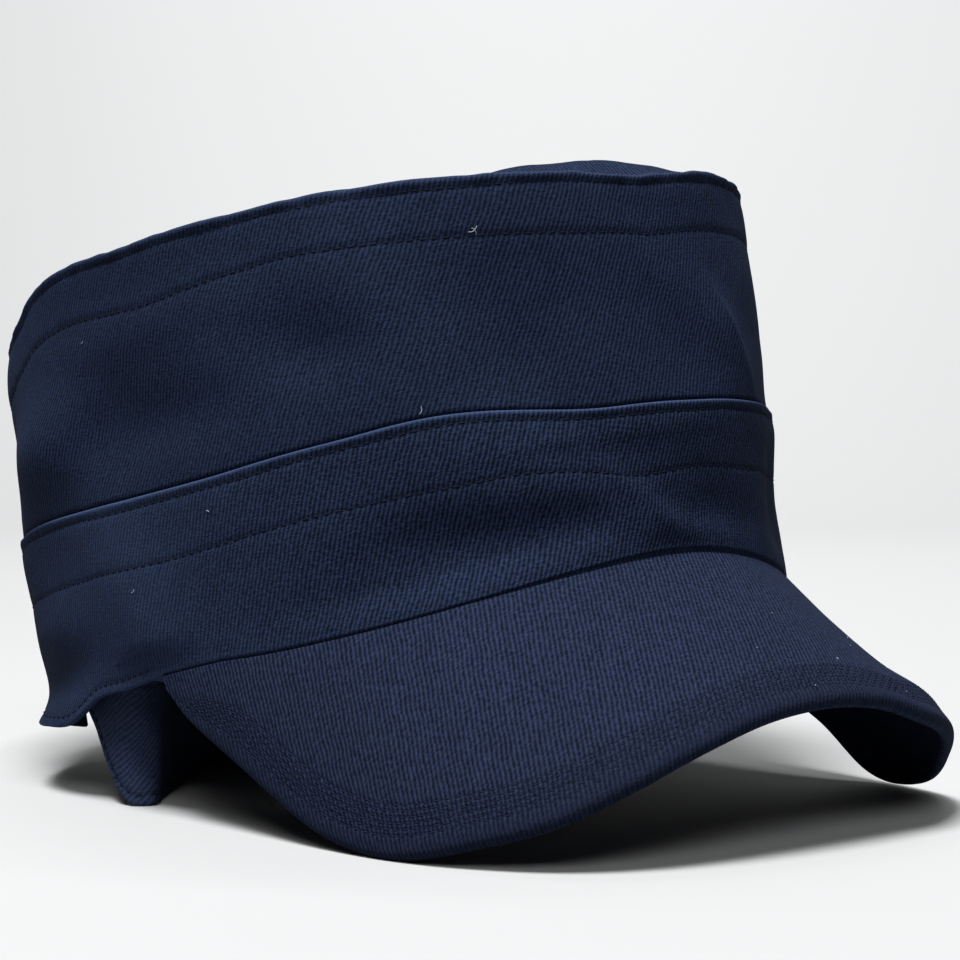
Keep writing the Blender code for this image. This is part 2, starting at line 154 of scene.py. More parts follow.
# Sharp creases that only the cloth's face shows, measured as the folds are.
#   name           piece   around  height   out   long  wide  tilt
CREASES = (
    ("front_arc",     "crown",  288,    61,   0.75,  17,   2.8,  -58),
    ("front_arc_in",  "crown",  279,    64,  -0.45,  14,   4.5,  -58),
    ("band_crease",   "band",   262,    24,   0.75,  19,   3.0,  -36),
    ("band_in",       "band",   277,    25,  -0.55,  12,   5.5,  -36),
    ("band_lip",      "band",   255,    40,   0.55,  28,   3.0,    3),
)
FOLDS_MM_PER_DEG = 1.64   # way round the wall for a degree of the body
FOLDS_FADE = (4.0, 9.0, 35.0, 9.0)   # hem's height at the side, its rise in front, its spread, fade

# ---------------------------------------------------------------------- peak
PEAK_DROOP_DEG = 46.0
PEAK_SEAM_HEIGHT = 12.8
ARCH_X = 82.06
ARCH_N = 70.94
#   name          across_r  along_r  across_l  along_l
PEAK_OUTLINE = (
    ("front",          0.0,    54.1,      0.0,    54.1),
    ("front_2",       20.0,    53.8,     16.0,    55.2),
    ("front_quarter", 39.6,    54.2,     32.0,    57.2),
    ("shoulder",      58.3,    53.2,     54.0,    53.4),
    ("shoulder_2",      75.6,    48.6,     72.1,    48.7),
    ("tip_front",       93.0,    37.2,     87.9,    43.4),
    ("tip",            104.2,    27.2,     98.8,    33.6),
    ("tip_side",       111.0,    16.8,    102.8,    23.7),
    ("side_low",       116.4,     2.4,    101.4,     5.7),
    ("side",           120.2,   -22.0,    106.1,   -20.7),
    ("side_back",    122.8,   -42.0,    115.5,   -42.0),
    ("corner",       121.6,   -53.5,    121.2,   -53.5),
)
#   name            across  along   out  spread_across  spread_along
PEAK_WAVES = (
    ("left_bulge",      50,    45,   1.9,      16,           6.4),
    ("left_flat",       46,    18,  -0.75,     14,          18),
)

#   name          low_x  low_y  low_z   up_x   up_y   up_z
STRAP = (
    ("sewn_end",  -57.0,  66.0,  22.0, -60.0,  58.0,  48.0),
    ("wall_run",  -67.5,  48.0,  22.5, -69.5,  39.0,  48.0),
    ("plunge",    -73.5,  33.0,  16.5, -73.0,  25.0,  41.0),
    ("drop",      -76.3,  23.0,   6.5, -74.5,  18.0,  33.5),
    ("fold",      -76.6,  15.4,   0.0, -73.5,  14.5,  30.4),
    ("turn",      -73.0,  12.4,   0.0, -69.0,  14.5,  31.0),
    ("away",      -67.5,  17.5,   0.0, -64.0,  19.5,  31.0),
    ("diagonal",  -40.0,  42.5,   0.0, -38.0,  42.5,  29.0),
    ("diagonal_2", -12.0, 66.5,   0.0, -11.0,  65.0,  28.0),
    ("rear",       13.0,  81.5,   0.0,  12.5,  79.5,  28.0),
    ("rear_2",     34.0,  80.5,   0.0,  33.5,  78.5,  28.5),
    ("sewn_end_2", 53.0,  67.5,   0.5,  51.5,  66.5,  29.0),
)

# ------------------------------------------------- stitch rows on the walls
# depth under the crown's top edge, round the cap
#   around  depth
ROW_UNDER_TOP = (
    (150, 13.6), (169, 13.6), (180, 14.2), (190, 14.7), (210, 12.8), (222, 13.1),
    (238, 13.4), (256, 13.9), (282, 14.3), (330, 14.2), (510, 14.5),
)
# height of the row round the middle of the band
#   around  height
ROW_MID_BAND = (
    (110, 31.0), (162, 30.6), (173, 30.4), (182, 29.5), (191, 29.2), (198, 29.7),
    (224, 31.5), (235, 32.0), (241, 32.6), (250, 32.0), (261, 30.1), (275, 31.5),
    (286, 30.9), (330, 31.0), (430, 31.0),
)
# how far the band's folded upper edge waves off its level
#   around  up
BAND_EDGE_WAVES = (
    (110, 0.0), (156, 0.9), (175, -0.3), (196, -1.3), (209, -0.6), (220, 0.2),
    (231, 1.2), (242, 0.6), (255, -0.8), (268, -0.2), (290, 0.3), (430, 0.0),
)
TOP_ROW_DEPTH = 2.4       # stitch row under the crown's top edge
EDGE_ROW_DEPTH = 2.3      # stitch row under the band's folded edge
HEM_ROW_HEIGHT = 2.4      # stitch row over the hem
STITCH_PITCH = 2.7
STITCH_LENGTH = 2.15
THREAD_R = 0.17
GROOVE = 0.22             # how deep a stitch row pulls the cloth in
PEAK_ROWS = 6             # stitch rows along the peak's edge
PEAK_FIRST_ROW = 5.0      # the first one's distance from the edge
PEAK_ROW_PITCH = 1.3
RIB_PITCH = 1.08          # twill rib to rib

FRONT = math.radians(270.0)


# ============================================================== small maths
def smooth(x, low, high):
    k = np.clip((x - low) / (high - low), 0.0, 1.0)
    return k * k * (3.0 - 2.0 * k)


def angle_gap(a, b):
    return (a - b + 180.0) % 360.0 - 180.0


def hermite(x, xs, ys):
    """Smooth curve through (xs, ys); ys may have several columns."""
    xs, ys = np.asarray(xs, float), np.asarray(ys, float)
    x = np.asarray(x, float)
    slope = np.empty_like(ys)
    slope[1:-1] = (ys[2:] - ys[:-2]) / ((xs[2:] - xs[:-2]) if ys.ndim == 1 else (xs[2:] - xs[:-2])[:, None])
    slope[0] = (ys[1] - ys[0]) / (xs[1] - xs[0])
    slope[-1] = (ys[-1] - ys[-2]) / (xs[-1] - xs[-2])
    i = np.clip(np.searchsorted(xs, x, side="right") - 1, 0, len(xs) - 2)
    h = xs[i + 1] - xs[i]
    k = np.clip((x - xs[i]) / h, 0.0, 1.0)
    if ys.ndim > 1:
        h, k = h[..., None], k[..., None]
    return ((2 * k**3 - 3 * k**2 + 1) * ys[i] + (k**3 - 2 * k**2 + k) * h * slope[i]
            + (3 * k**2 - 2 * k**3) * ys[i + 1] + (k**3 - k**2) * h * slope[i + 1])


def curve_through(values, u):
    pts = np.array(values, float)
    knots = np.concatenate([[0.0], np.cumsum(np.linalg.norm(np.diff(pts, axis=0), axis=1))])
    return hermite(np.asarray(u) * knots[-1], knots, pts)


def height_through(column, deg):
    x = (np.asarray(deg, float) + 90.0) % 360.0 - 90.0
    xs = [r[1] for r in BACK_EDGES]
    return hermite(x, xs, [r[column] for r in BACK_EDGES])


def wander(x, spacing, seed, cells=None):
    """Smooth wandering value, -1 to 1; cells closes it round a ring."""
    r = np.random.RandomState(seed).uniform(-1.0, 1.0, 2048)
    k = np.asarray(x, float) / spacing
    i = np.floor(k).astype(int)
    f = k - i
    f = f * f * (3.0 - 2.0 * f)
    n = cells or 2048
    return r[i % n] * (1.0 - f) + r[(i + 1) % n] * f


def wander2(x, y, sx, sy, seed, cells=None):
    """Smooth wandering value over a sheet, -1 to 1."""
    r = np.random.RandomState(seed).uniform(-1.0, 1.0, (512, 512))
    kx, ky = np.asarray(x, float) / sx, np.asarray(y, float) / sy
    i, j = np.floor(kx).astype(int), np.floor(ky).astype(int)
    f, g = kx - i, ky - j
    f, g = f * f * (3.0 - 2.0 * f), g * g * (3.0 - 2.0 * g)
    n = cells or 512
    a = r[i % n, j % 512] * (1 - f) + r[(i + 1) % n, j % 512] * f
    b = r[i % n, (j + 1) % 512] * (1 - f) + r[(i + 1) % n, (j + 1) % 512] * f
    return a * (1 - g) + b * g


# ============================================================ the body's form
def ring_sizes(k):
    i = np.where(k < 1.0, 0, 1)
    f = k - i
    table = np.array([r[2:5] for r in RINGS])
    v = table[i] + (table[i + 1] - table[i]) * f[..., None]
    return v[..., 0], v[..., 1], v[..., 2]


def top_height(deg):
    t = np.radians(deg)
    z = RINGS[2][1] + TOP_RISE * RINGS[2][3] * (np.sin(t) + 1.0)
    return z - height_through(3, deg)


def folded(deg, z):
    """Push of the folds, none at the hem and where the peak is sewn on."""
    out = np.zeros_like(z)
    for _, around, height, push, long_, wide, tilt in FOLDS:
        du, dz = angle_gap(deg, around) * FOLDS_MM_PER_DEG, z - height
        c, s = math.cos(math.radians(tilt)), math.sin(math.radians(tilt))
        along, across = du * c + dz * s, -du * s + dz * c
        out = out + push * np.exp(-(along / long_) ** 2 - (across / wide) ** 2)
    side, rise, spread, fade = FOLDS_FADE
    low = side + rise * np.exp(-(angle_gap(deg, 270.0) / spread) ** 2)
    return out * smooth(z - low, 0.0, fade)


def body(deg, z, out=0.0):
    """Points of the body's outer form at angle deg and height z, moved out."""
    deg, z = np.broadcast_arrays(np.asarray(deg, float), np.asarray(z, float))
    t = np.radians(deg)
    band_top = RINGS[1][1]
    k = np.where(z <= band_top, z / band_top,
                 1.0 + (z - band_top) / (top_height(deg) - band_top))
    a, b, yc = ring_sizes(k)
    c, s = np.cos(t), np.sin(t)
    q = (np.abs(c) ** SQUARENESS + np.abs(s) ** SQUARENESS) ** (-1.0 / SQUARENESS)
    out = np.zeros_like(z) + out
    for _, around, height, push, spread_a, spread_z in DENTS:
        da = angle_gap(deg, around) / spread_a
        dz = (z - height) / spread_z
        out = out + push * np.exp(-(da * da + dz * dz))
    out = out + folded(deg, z)
    nx, ny = c / a, s / b
    n = np.hypot(nx, ny)
    return np.stack([a * c * q + out * nx / n, yc + b * s * q + out * ny / n, z], -1)


# arc length round the cap, for the cloth's own coordinates
_D = np.linspace(0.0, 360.0, 1441)
_R = body(_D, 52.0 + 0.0 * _D)
_U = np.concatenate([[0.0], np.cumsum(np.linalg.norm(np.diff(_R, axis=0), axis=1))])
AROUND_MM = float(_U[-1])


def arc(deg):
    turns = np.floor(np.asarray(deg, float) / 360.0)
    return np.interp(deg - 360.0 * turns, _D, _U) + turns * AROUND_MM


def at_arc(u):
    turns = np.floor(np.asarray(u, float) / AROUND_MM)
    return np.interp(u - AROUND_MM * turns, _U, _D) + turns * 360.0


def ring_wander(deg, spacing, seed):
    n = max(3, int(round(AROUND_MM / spacing)))
    return wander(arc(deg), AROUND_MM / n, seed, n)


def ring_wander2(deg, z, spacing, sz, seed):
    n = max(3, int(round(AROUND_MM / spacing)))
    return wander2(arc(deg), z + 200.0, AROUND_MM / n, sz, seed, n)


# ------------------------------------------------------------------- the peak
DROOP = math.radians(PEAK_DROOP_DEG)
SEAM_Y = RINGS[0][4] - RINGS[0][3]
_A = np.linspace(0.0, math.radians(112.0), 449)
_E = np.array([ARCH_X * np.cos(_A), ARCH_N * np.sin(_A)])
_S = np.concatenate([[0.0], np.cumsum(np.hypot(*(0.5 * (_E[:, 1:] + _E[:, :-1]))) * np.diff(_A))])
QUARTER = float(np.interp(math.radians(90.0), _A, _S))


def on_bend(across, along, lift=0.0):
    across, along = np.broadcast_arrays(np.asarray(across, float), np.asarray(along, float))
    al = np.sign(across) * np.interp(np.abs(across), _S, _A)
    lift = np.zeros_like(along) + lift
    for _, w, l, out, spread_w, spread_l in PEAK_WAVES:
        lift = lift + out * np.exp(-((across - w) / spread_w) ** 2 - ((along - l) / spread_l) ** 2)
    tx, tn = ARCH_X * np.cos(al), -ARCH_N * np.sin(al)
    m = np.hypot(tx, tn)
    x = ARCH_X * np.sin(al) - lift * tn / m
    n = ARCH_N * (np.cos(al) - 1.0) + lift * tx / m
    return np.stack([x, SEAM_Y - along * math.cos(DROOP) - n * math.sin(DROOP),
                     PEAK_SEAM_HEIGHT - along * math.sin(DROOP) + n * math.cos(DROOP)], -1)


def seam_along(across):
    _, _, a, b, yc = RINGS[0]
    low = np.full_like(np.asarray(across, float), -110.0)
    high = np.full_like(low, 30.0)
    for _ in range(40):
        mid = 0.5 * (low + high)
        p = on_bend(across, mid)
        hem_y = yc - b * np.maximum(1.0 - np.minimum(np.abs(p[..., 0]) / a, 1.0) ** SQUARENESS, 0.0) ** (1.0 / SQUARENESS)
        outside = p[..., 1] > hem_y
        low, high = np.where(outside, mid, low), np.where(outside, high, mid)
    return 0.5 * (low + high)


def seam_edge(across):
    """The seam's run: level from the corner to where the arch starts to rise."""
    across = np.asarray(across, float)
    along = seam_along(across)
    z = on_bend(across, along)[..., 2]
    ends = np.array([SEAM_LEVEL_FROM, 1.0]) * QUARTER
    za, zb = on_bend(ends, seam_along(ends))[0, 2], SEAM_CORNER
    k = np.clip((np.abs(across) / QUARTER - SEAM_LEVEL_FROM) / (1.0 - SEAM_LEVEL_FROM), 0.0, 1.0)
    over = np.where(k > 0.0, np.maximum(z - (za + (zb - za) * k), 0.0), 0.0)
    return along + over / math.sin(DROOP)


_SHARES = np.linspace(-1.0, 1.0, 481)
_SEAM = on_bend(_SHARES * QUARTER, seam_edge(_SHARES * QUARTER))


def hem_height(deg):
    """Height of the band's lower edge."""
    deg = np.asarray(deg, float)
    _, _, a, b, yc = RINGS[0]
    angles = np.degrees(np.arctan2((_SEAM[:, 1] - yc) / b, _SEAM[:, 0] / a)) % 360.0
    over_peak = np.interp(deg % 360.0, angles, _SEAM[:, 2]) + SEAM_GAP + SEAM_OPEN * smooth(230.0 - deg, 0.0, 30.0)
    back = height_through(2, deg)
    y = body(deg, 0.0 * deg)[..., 1]
    return np.where(y < _SEAM[0, 1], over_peak, back)


def arch_height(x):
    return ARCH_HEIGHT * np.sqrt(np.maximum(1.0 - (x / ARCH_HALF_WIDTH) ** 2, 0.0))


def arch_angle(z, side):
    """Angle in degrees of the opening's edge at height z."""
    z = np.clip(z, 0.0, ARCH_HEIGHT - 0.001)
    half = ARCH_HALF_WIDTH * np.sqrt(1.0 - (z / ARCH_HEIGHT) ** 2)
    low, high = np.full_like(z, 20.0), np.full_like(z, 90.0)
    for _ in range(36):
        mid = 0.5 * (low + high)
        wide = body(mid, z)[..., 0] > half
        low, high = np.where(wide, mid, low), np.where(wide, high, mid)
    return mid if side > 0 else 180.0 - mid


# ======================================================== relief of the cloth
def table_at(table, deg):
    deg = np.asarray(deg, float)
    first, last = table[0][0], table[-1][0]
    d = np.where(deg < first, deg + 360.0, deg)
    d = np.where(d > last, d - 360.0, d)
    return hermite(np.clip(d, first, last), [r[0] for r in table], [r[1] for r in table])


def top_row(deg):
    return top_height(deg) - TOP_ROW_DEPTH + 0.25 * ring_wander(deg, 9.0, 11)


def under_top_row(deg):
    return top_height(deg) - table_at(ROW_UNDER_TOP, deg) + 0.16 * ring_wander(deg, 13.0, 12)


def band_edge(deg):
    return RINGS[1][1] + table_at(BAND_EDGE_WAVES, deg) + 0.12 * ring_wander(deg, 11.0, 21)


def edge_row(deg):
    return band_edge(deg) - EDGE_ROW_DEPTH + 0.15 * ring_wander(deg, 12.0, 13)


def mid_row(deg):
    return table_at(ROW_MID_BAND, deg) + 0.14 * ring_wander(deg, 13.0, 14)


def hem_row(deg):
    return hem_height(deg) + HEM_ROW_HEIGHT + 0.12 * ring_wander(deg, 10.0, 15)


def stitched(deg, z, row, depth, seed, spread=3.2):
    """A row of stitches pulls the cloth in, with small puckers beside it."""
    d = z - row
    groove_and_painted_shade = -depth * np.exp(-(d / 0.5) ** 2)
    soft = -0.45 * depth * np.exp(-(d / 1.7) ** 2)
    pucker = ring_wander(deg, 2.3, seed) * 0.6 + ring_wander(deg, 5.1, seed + 1) * 0.6
    return groove_and_painted_shade + soft + 0.36 * depth * pucker * np.exp(-(d / spread) ** 2)


def creases(piece, deg, z):
    out = np.zeros(np.broadcast(deg, z).shape)
    for _, where, around, height, push, long_, wide, tilt in CREASES:
        if where != piece:
            continue
        du, dz = angle_gap(deg, around) * FOLDS_MM_PER_DEG, z - height
        c, s = math.cos(math.radians(tilt)), math.sin(math.radians(tilt))
        along, across = du * c + dz * s, -du * s + dz * c
        out = out + push * np.exp(-(along / long_) ** 2 - (across / wide) ** 2)
    return out


def crown_relief(deg, z):
    out = creases("crown", deg, z) + 0.28 * ring_wander2(deg, z, 26.0, 19.0, 31) + 0.12 * ring_wander2(deg, z, 11.0, 9.0, 32)
    out = out + 0.035 * ring_wander2(deg, z, 3.4, 4.2, 33)
    top = top_height(deg)
    out = out * smooth(top - z, 0.5, 7.0)
    # the seam allowances make a small roll over the uppermost row
    depth = top - z
    roll = np.exp(-((depth - 0.9) / 1.1) ** 2)
    out = out + roll * (0.28 + 0.22 * ring_wander(deg, 4.3, 34) + 0.12 * ring_wander(deg, 1.9, 35))
    out = out + stitched(deg, z, top_row(deg), 1.3 * GROOVE, 36, 2.6)
    out = out + stitched(deg, z, under_top_row(deg), 0.8 * GROOVE, 38)
    out = out + 0.16 * smooth(z - under_top_row(deg), 0.0, 1.2)
    return out


def band_relief(deg, z):
    edge, hem = band_edge(deg), hem_height(deg)
    out = creases("band", deg, z) + 0.25 * ring_wander2(deg, z, 24.0, 17.0, 41) + 0.10 * ring_wander2(deg, z, 10.0, 9.0, 42)
    out = out + 0.03 * ring_wander2(deg, z, 3.4, 4.2, 43)
    out = out * smooth(edge - z, 0.5, 8.0) * smooth(z - hem, 0.0, 9.0)
    out = out + stitched(deg, z, edge_row(deg), 1.2 * GROOVE, 44, 2.2)
    out = out + stitched(deg, z, mid_row(deg), 0.9 * GROOVE, 46)
    depth = edge - z
    out = out + np.exp(-((depth - 0.8) / 0.7) ** 2) * (0.08 + 0.08 * ring_wander(deg, 3.7, 48))
    over_peak = smooth(200.0 - np.abs(angle_gap(deg, 270.0)), 110.0, 114.0)
    out = out + stitched(deg, z, hem_row(deg), GROOVE, 49, 2.4) * (1.0 - over_peak)
    return out


def crown_point(deg, z, inset=0.0, relief=True):
    edge = band_edge(deg)
    behind = 1.0 - smooth(z, edge - 0.5, edge + 0.55)
    base = BAND_PROUD + behind * (BAND_T + GAP - BAND_PROUD)
    push = crown_relief(deg, z) * (1.0 - behind) if relief else 0.0
    return body(deg, z, push - base - inset)


def band_point(deg, z, inset=0.0, relief=True):
    push = band_relief(deg, z) if relief else 0.0
    return body(deg, z, push - inset)


def to_world(p):
    """Level frame in mm to the scene in m."""
    c, s = math.cos(math.radians(LEAN_BACK_DEG)), math.sin(math.radians(LEAN_BACK_DEG))
    x, y, z = p[..., 0], p[..., 1], p[..., 2]
    q = np.stack([x - FOOTPRINT_X, y * c + z * s - FOOTPRINT_Y, -y * s + z * c + HEM_LIFT], -1) * MM
    q[..., 2] = np.maximum(q[..., 2], 0.0)
    return q


# ============================================================= mesh builders
def put(name, co, faces, uv_loops, attrs, material, sides=4):
    """A mesh object from arrays; faces is a list of (n, k) index arrays."""
    mesh = bpy.data.meshes.new(name)
    mesh.vertices.add(len(co))
    mesh.vertices.foreach_set("co", co.astype(np.float32).ravel())
    idx = np.concatenate([f.ravel() for f in faces])
    totals = np.concatenate([np.full(len(f), f.shape[1]) for f in faces])
    starts = np.concatenate([[0], np.cumsum(totals)[:-1]])
    mesh.loops.add(len(idx))
    mesh.loops.foreach_set("vertex_index", idx.astype(np.int32))
    mesh.polygons.add(len(totals))
    mesh.polygons.foreach_set("loop_start", starts.astype(np.int32))
    mesh.polygons.foreach_set("use_smooth", np.ones(len(totals), bool))
    mesh.update(calc_edges=True)
    if uv_loops is not None:
        layer = mesh.uv_layers.new(name="cloth")
        layer.data.foreach_set("uv", uv_loops.astype(np.float32).ravel())
    for key, values in (attrs or {}).items():
        a = mesh.attributes.new(key, "FLOAT", "POINT")
        a.data.foreach_set("value", values.astype(np.float32).ravel())
    mesh.validate()
    mesh.materials.append(material)
    o = bpy.data.objects.new(name, mesh)
    bpy.context.scene.collection.objects.link(o)
    return o


def volume_of(co, quads):
    a, b, c, d = (co[quads[:, i]] for i in range(4))
    return float(((a * np.cross(b, c)).sum() + (a * np.cross(c, d)).sum()) / 6.0)


def loop_grid(name, P, uv, attrs, closed, material, turn_mm=0.0):
    """Closed body: columns (round when closed) of section loops (always round)."""
    nu, n = P.shape[:2]
    co = P.reshape(-1, 3)
    i, j = np.meshgrid(np.arange(nu if closed else nu - 1), np.arange(n), indexing="ij")
    i, j = i.ravel(), j.ravel()
    i2, j2 = i + 1, j + 1
    quads = np.stack([i * n + j, (i2 % nu) * n + j, (i2 % nu) * n + j2 % n, i * n + j2 % n], -1)
    U = np.concatenate([uv, uv[:1] + np.array([turn_mm, 0.0])], 0) if closed else uv
    U = np.concatenate([U, U[:, :1]], 1) * MM
    uvq = np.stack([U[i, j], U[i2, j], U[i2, j2], U[i, j2]], 1)
    if volume_of(co, quads) < 0:
        quads, uvq = quads[:, ::-1], uvq[:, ::-1]
        flip = True
    else:
        flip = False
    faces, loops = [quads], [uvq.reshape(-1, 2)]
    if not closed:
        first, last = np.arange(n), (nu - 1) * n + np.arange(n)
        ends = [first, last[::-1]] if flip else [first[::-1], last]
        for e in ends:
            faces.append(e[None, :])
            loops.append(uv.reshape(-1, 2)[e] * MM)
    return put(name, co, faces, np.concatenate(loops), attrs, material)


def pole_grid(name, P, pole_a, pole_b, uv, uv_a, uv_b, attrs, material):
    """Closed body from rings P (columns round, rows from pole a to pole b)."""
    nu, n = P.shape[:2]
    co = np.concatenate([P.reshape(-1, 3), [pole_a], [pole_b]])
    i, j = np.meshgrid(np.arange(nu), np.arange(n - 1), indexing="ij")
    i, j = i.ravel(), j.ravel()
    i2 = (i + 1) % nu
    quads = np.stack([i * n + j, i2 * n + j, i2 * n + j + 1, i * n + j + 1], -1)
    k = np.arange(nu)
    k2 = (k + 1) % nu
    fan_a = np.stack([np.full(nu, nu * n), k2 * n, k * n], -1)
    fan_b = np.stack([np.full(nu, nu * n + 1), k * n + n - 1, k2 * n + n - 1], -1)
    allv = np.concatenate([uv.reshape(-1, 2), [uv_a], [uv_b]]) * MM
    if volume_of(co, quads) < 0:
        quads, fan_a, fan_b = quads[:, ::-1], fan_a[:, ::-1], fan_b[:, ::-1]
    loops = np.concatenate([allv[f].reshape(-1, 2) for f in (quads, fan_a, fan_b)])
    full = {key: np.concatenate([v.ravel(), [0.0, 0.0]]) for key, v in attrs.items()}
    return put(name, co, [quads, fan_a, fan_b], loops, full, material)


def rim_profile(length, half, rows, steps, low=1.0, high=1.0):
    """Distances along a cloth of this length and half thickness factors, both
    rims rounded: length is an array, one for each column; low and high squash
    the rounding of either rim."""
    ang = np.linspace(0.0, math.pi / 2, steps + 1)
    near, far = low * half * (1.0 - np.cos(ang)), high * half * (1.0 - np.cos(ang))
    lift = np.sin(ang)
    mid = np.linspace(0.0, 1.0, rows + 2)[1:-1]
    L = np.asarray(length, float)[:, None]
    r = np.minimum(half, 0.45 * L) / half
    d = np.concatenate([near[None, :] * r, near[-1] * r + (L - (near[-1] + far[-1]) * r) * mid[None, :],
                        L - far[None, ::-1] * r], 1)
    f = np.concatenate([lift[None, :] * r, np.repeat(r, rows, 1), lift[None, ::-1] * r], 1)
    return d, f


def columns_between(start, stop, count):
    """Angles for the columns, closer together on the side seen in the photo."""
    x = np.linspace(start, stop, 4001)
    gap = np.abs(angle_gap(x, 240.0))
    dens = 0.42 + 0.58 * (1.0 - smooth(gap, 85.0, 105.0))
    c = np.concatenate([[0.0], np.cumsum(0.5 * (dens[1:] + dens[:-1]))])
    return np.interp(np.linspace(0.0, c[-1], count), c, x)


# ================================================================ materials
def node_group(material):
    material.use_nodes = True
    tree = material.node_tree
    tree.nodes.clear()
    return tree


class Net:
    """Short hands for building a node tree."""

    def __init__(self, tree):
        self.t = tree

    def new(self, kind, **props):
        n = self.t.nodes.new(kind)
        for k, v in props.items():
            setattr(n, k, v)
        return n

    def link(self, a, b):
        self.t.links.new(a, b)

    def put(self, socket, value):
        if isinstance(value, (int, float)):
            socket.default_value = value
        elif isinstance(value, (tuple, list)):
            socket.default_value = value
        else:
            self.link(value, socket)

    def math(self, op, a, b=0.0, c=None, clamp=False):
        n = self.new("ShaderNodeMath", operation=op, use_clamp=clamp)
        self.put(n.inputs[0], a)
        self.put(n.inputs[1], b)
        if c is not None:
            self.put(n.inputs[2], c)
        return n.outputs[0]

    def noise(self, vector, scale, detail=2.0, rough=0.5):
        n = self.new("ShaderNodeTexNoise")
        self.put(n.inputs["Vector"], vector)
        n.inputs["Scale"].default_value = scale
        n.inputs["Detail"].default_value = detail
        n.inputs["Roughness"].default_value = rough
        return n.outputs["Fac"]

    def mix(self, fac, a, b):
        n = self.new("ShaderNodeMix", data_type="RGBA", clamp_factor=True)
        self.put(n.inputs["Factor"], fac)
        self.put(n.inputs[6], a)
        self.put(n.inputs[7], b)
        return n.outputs[2]


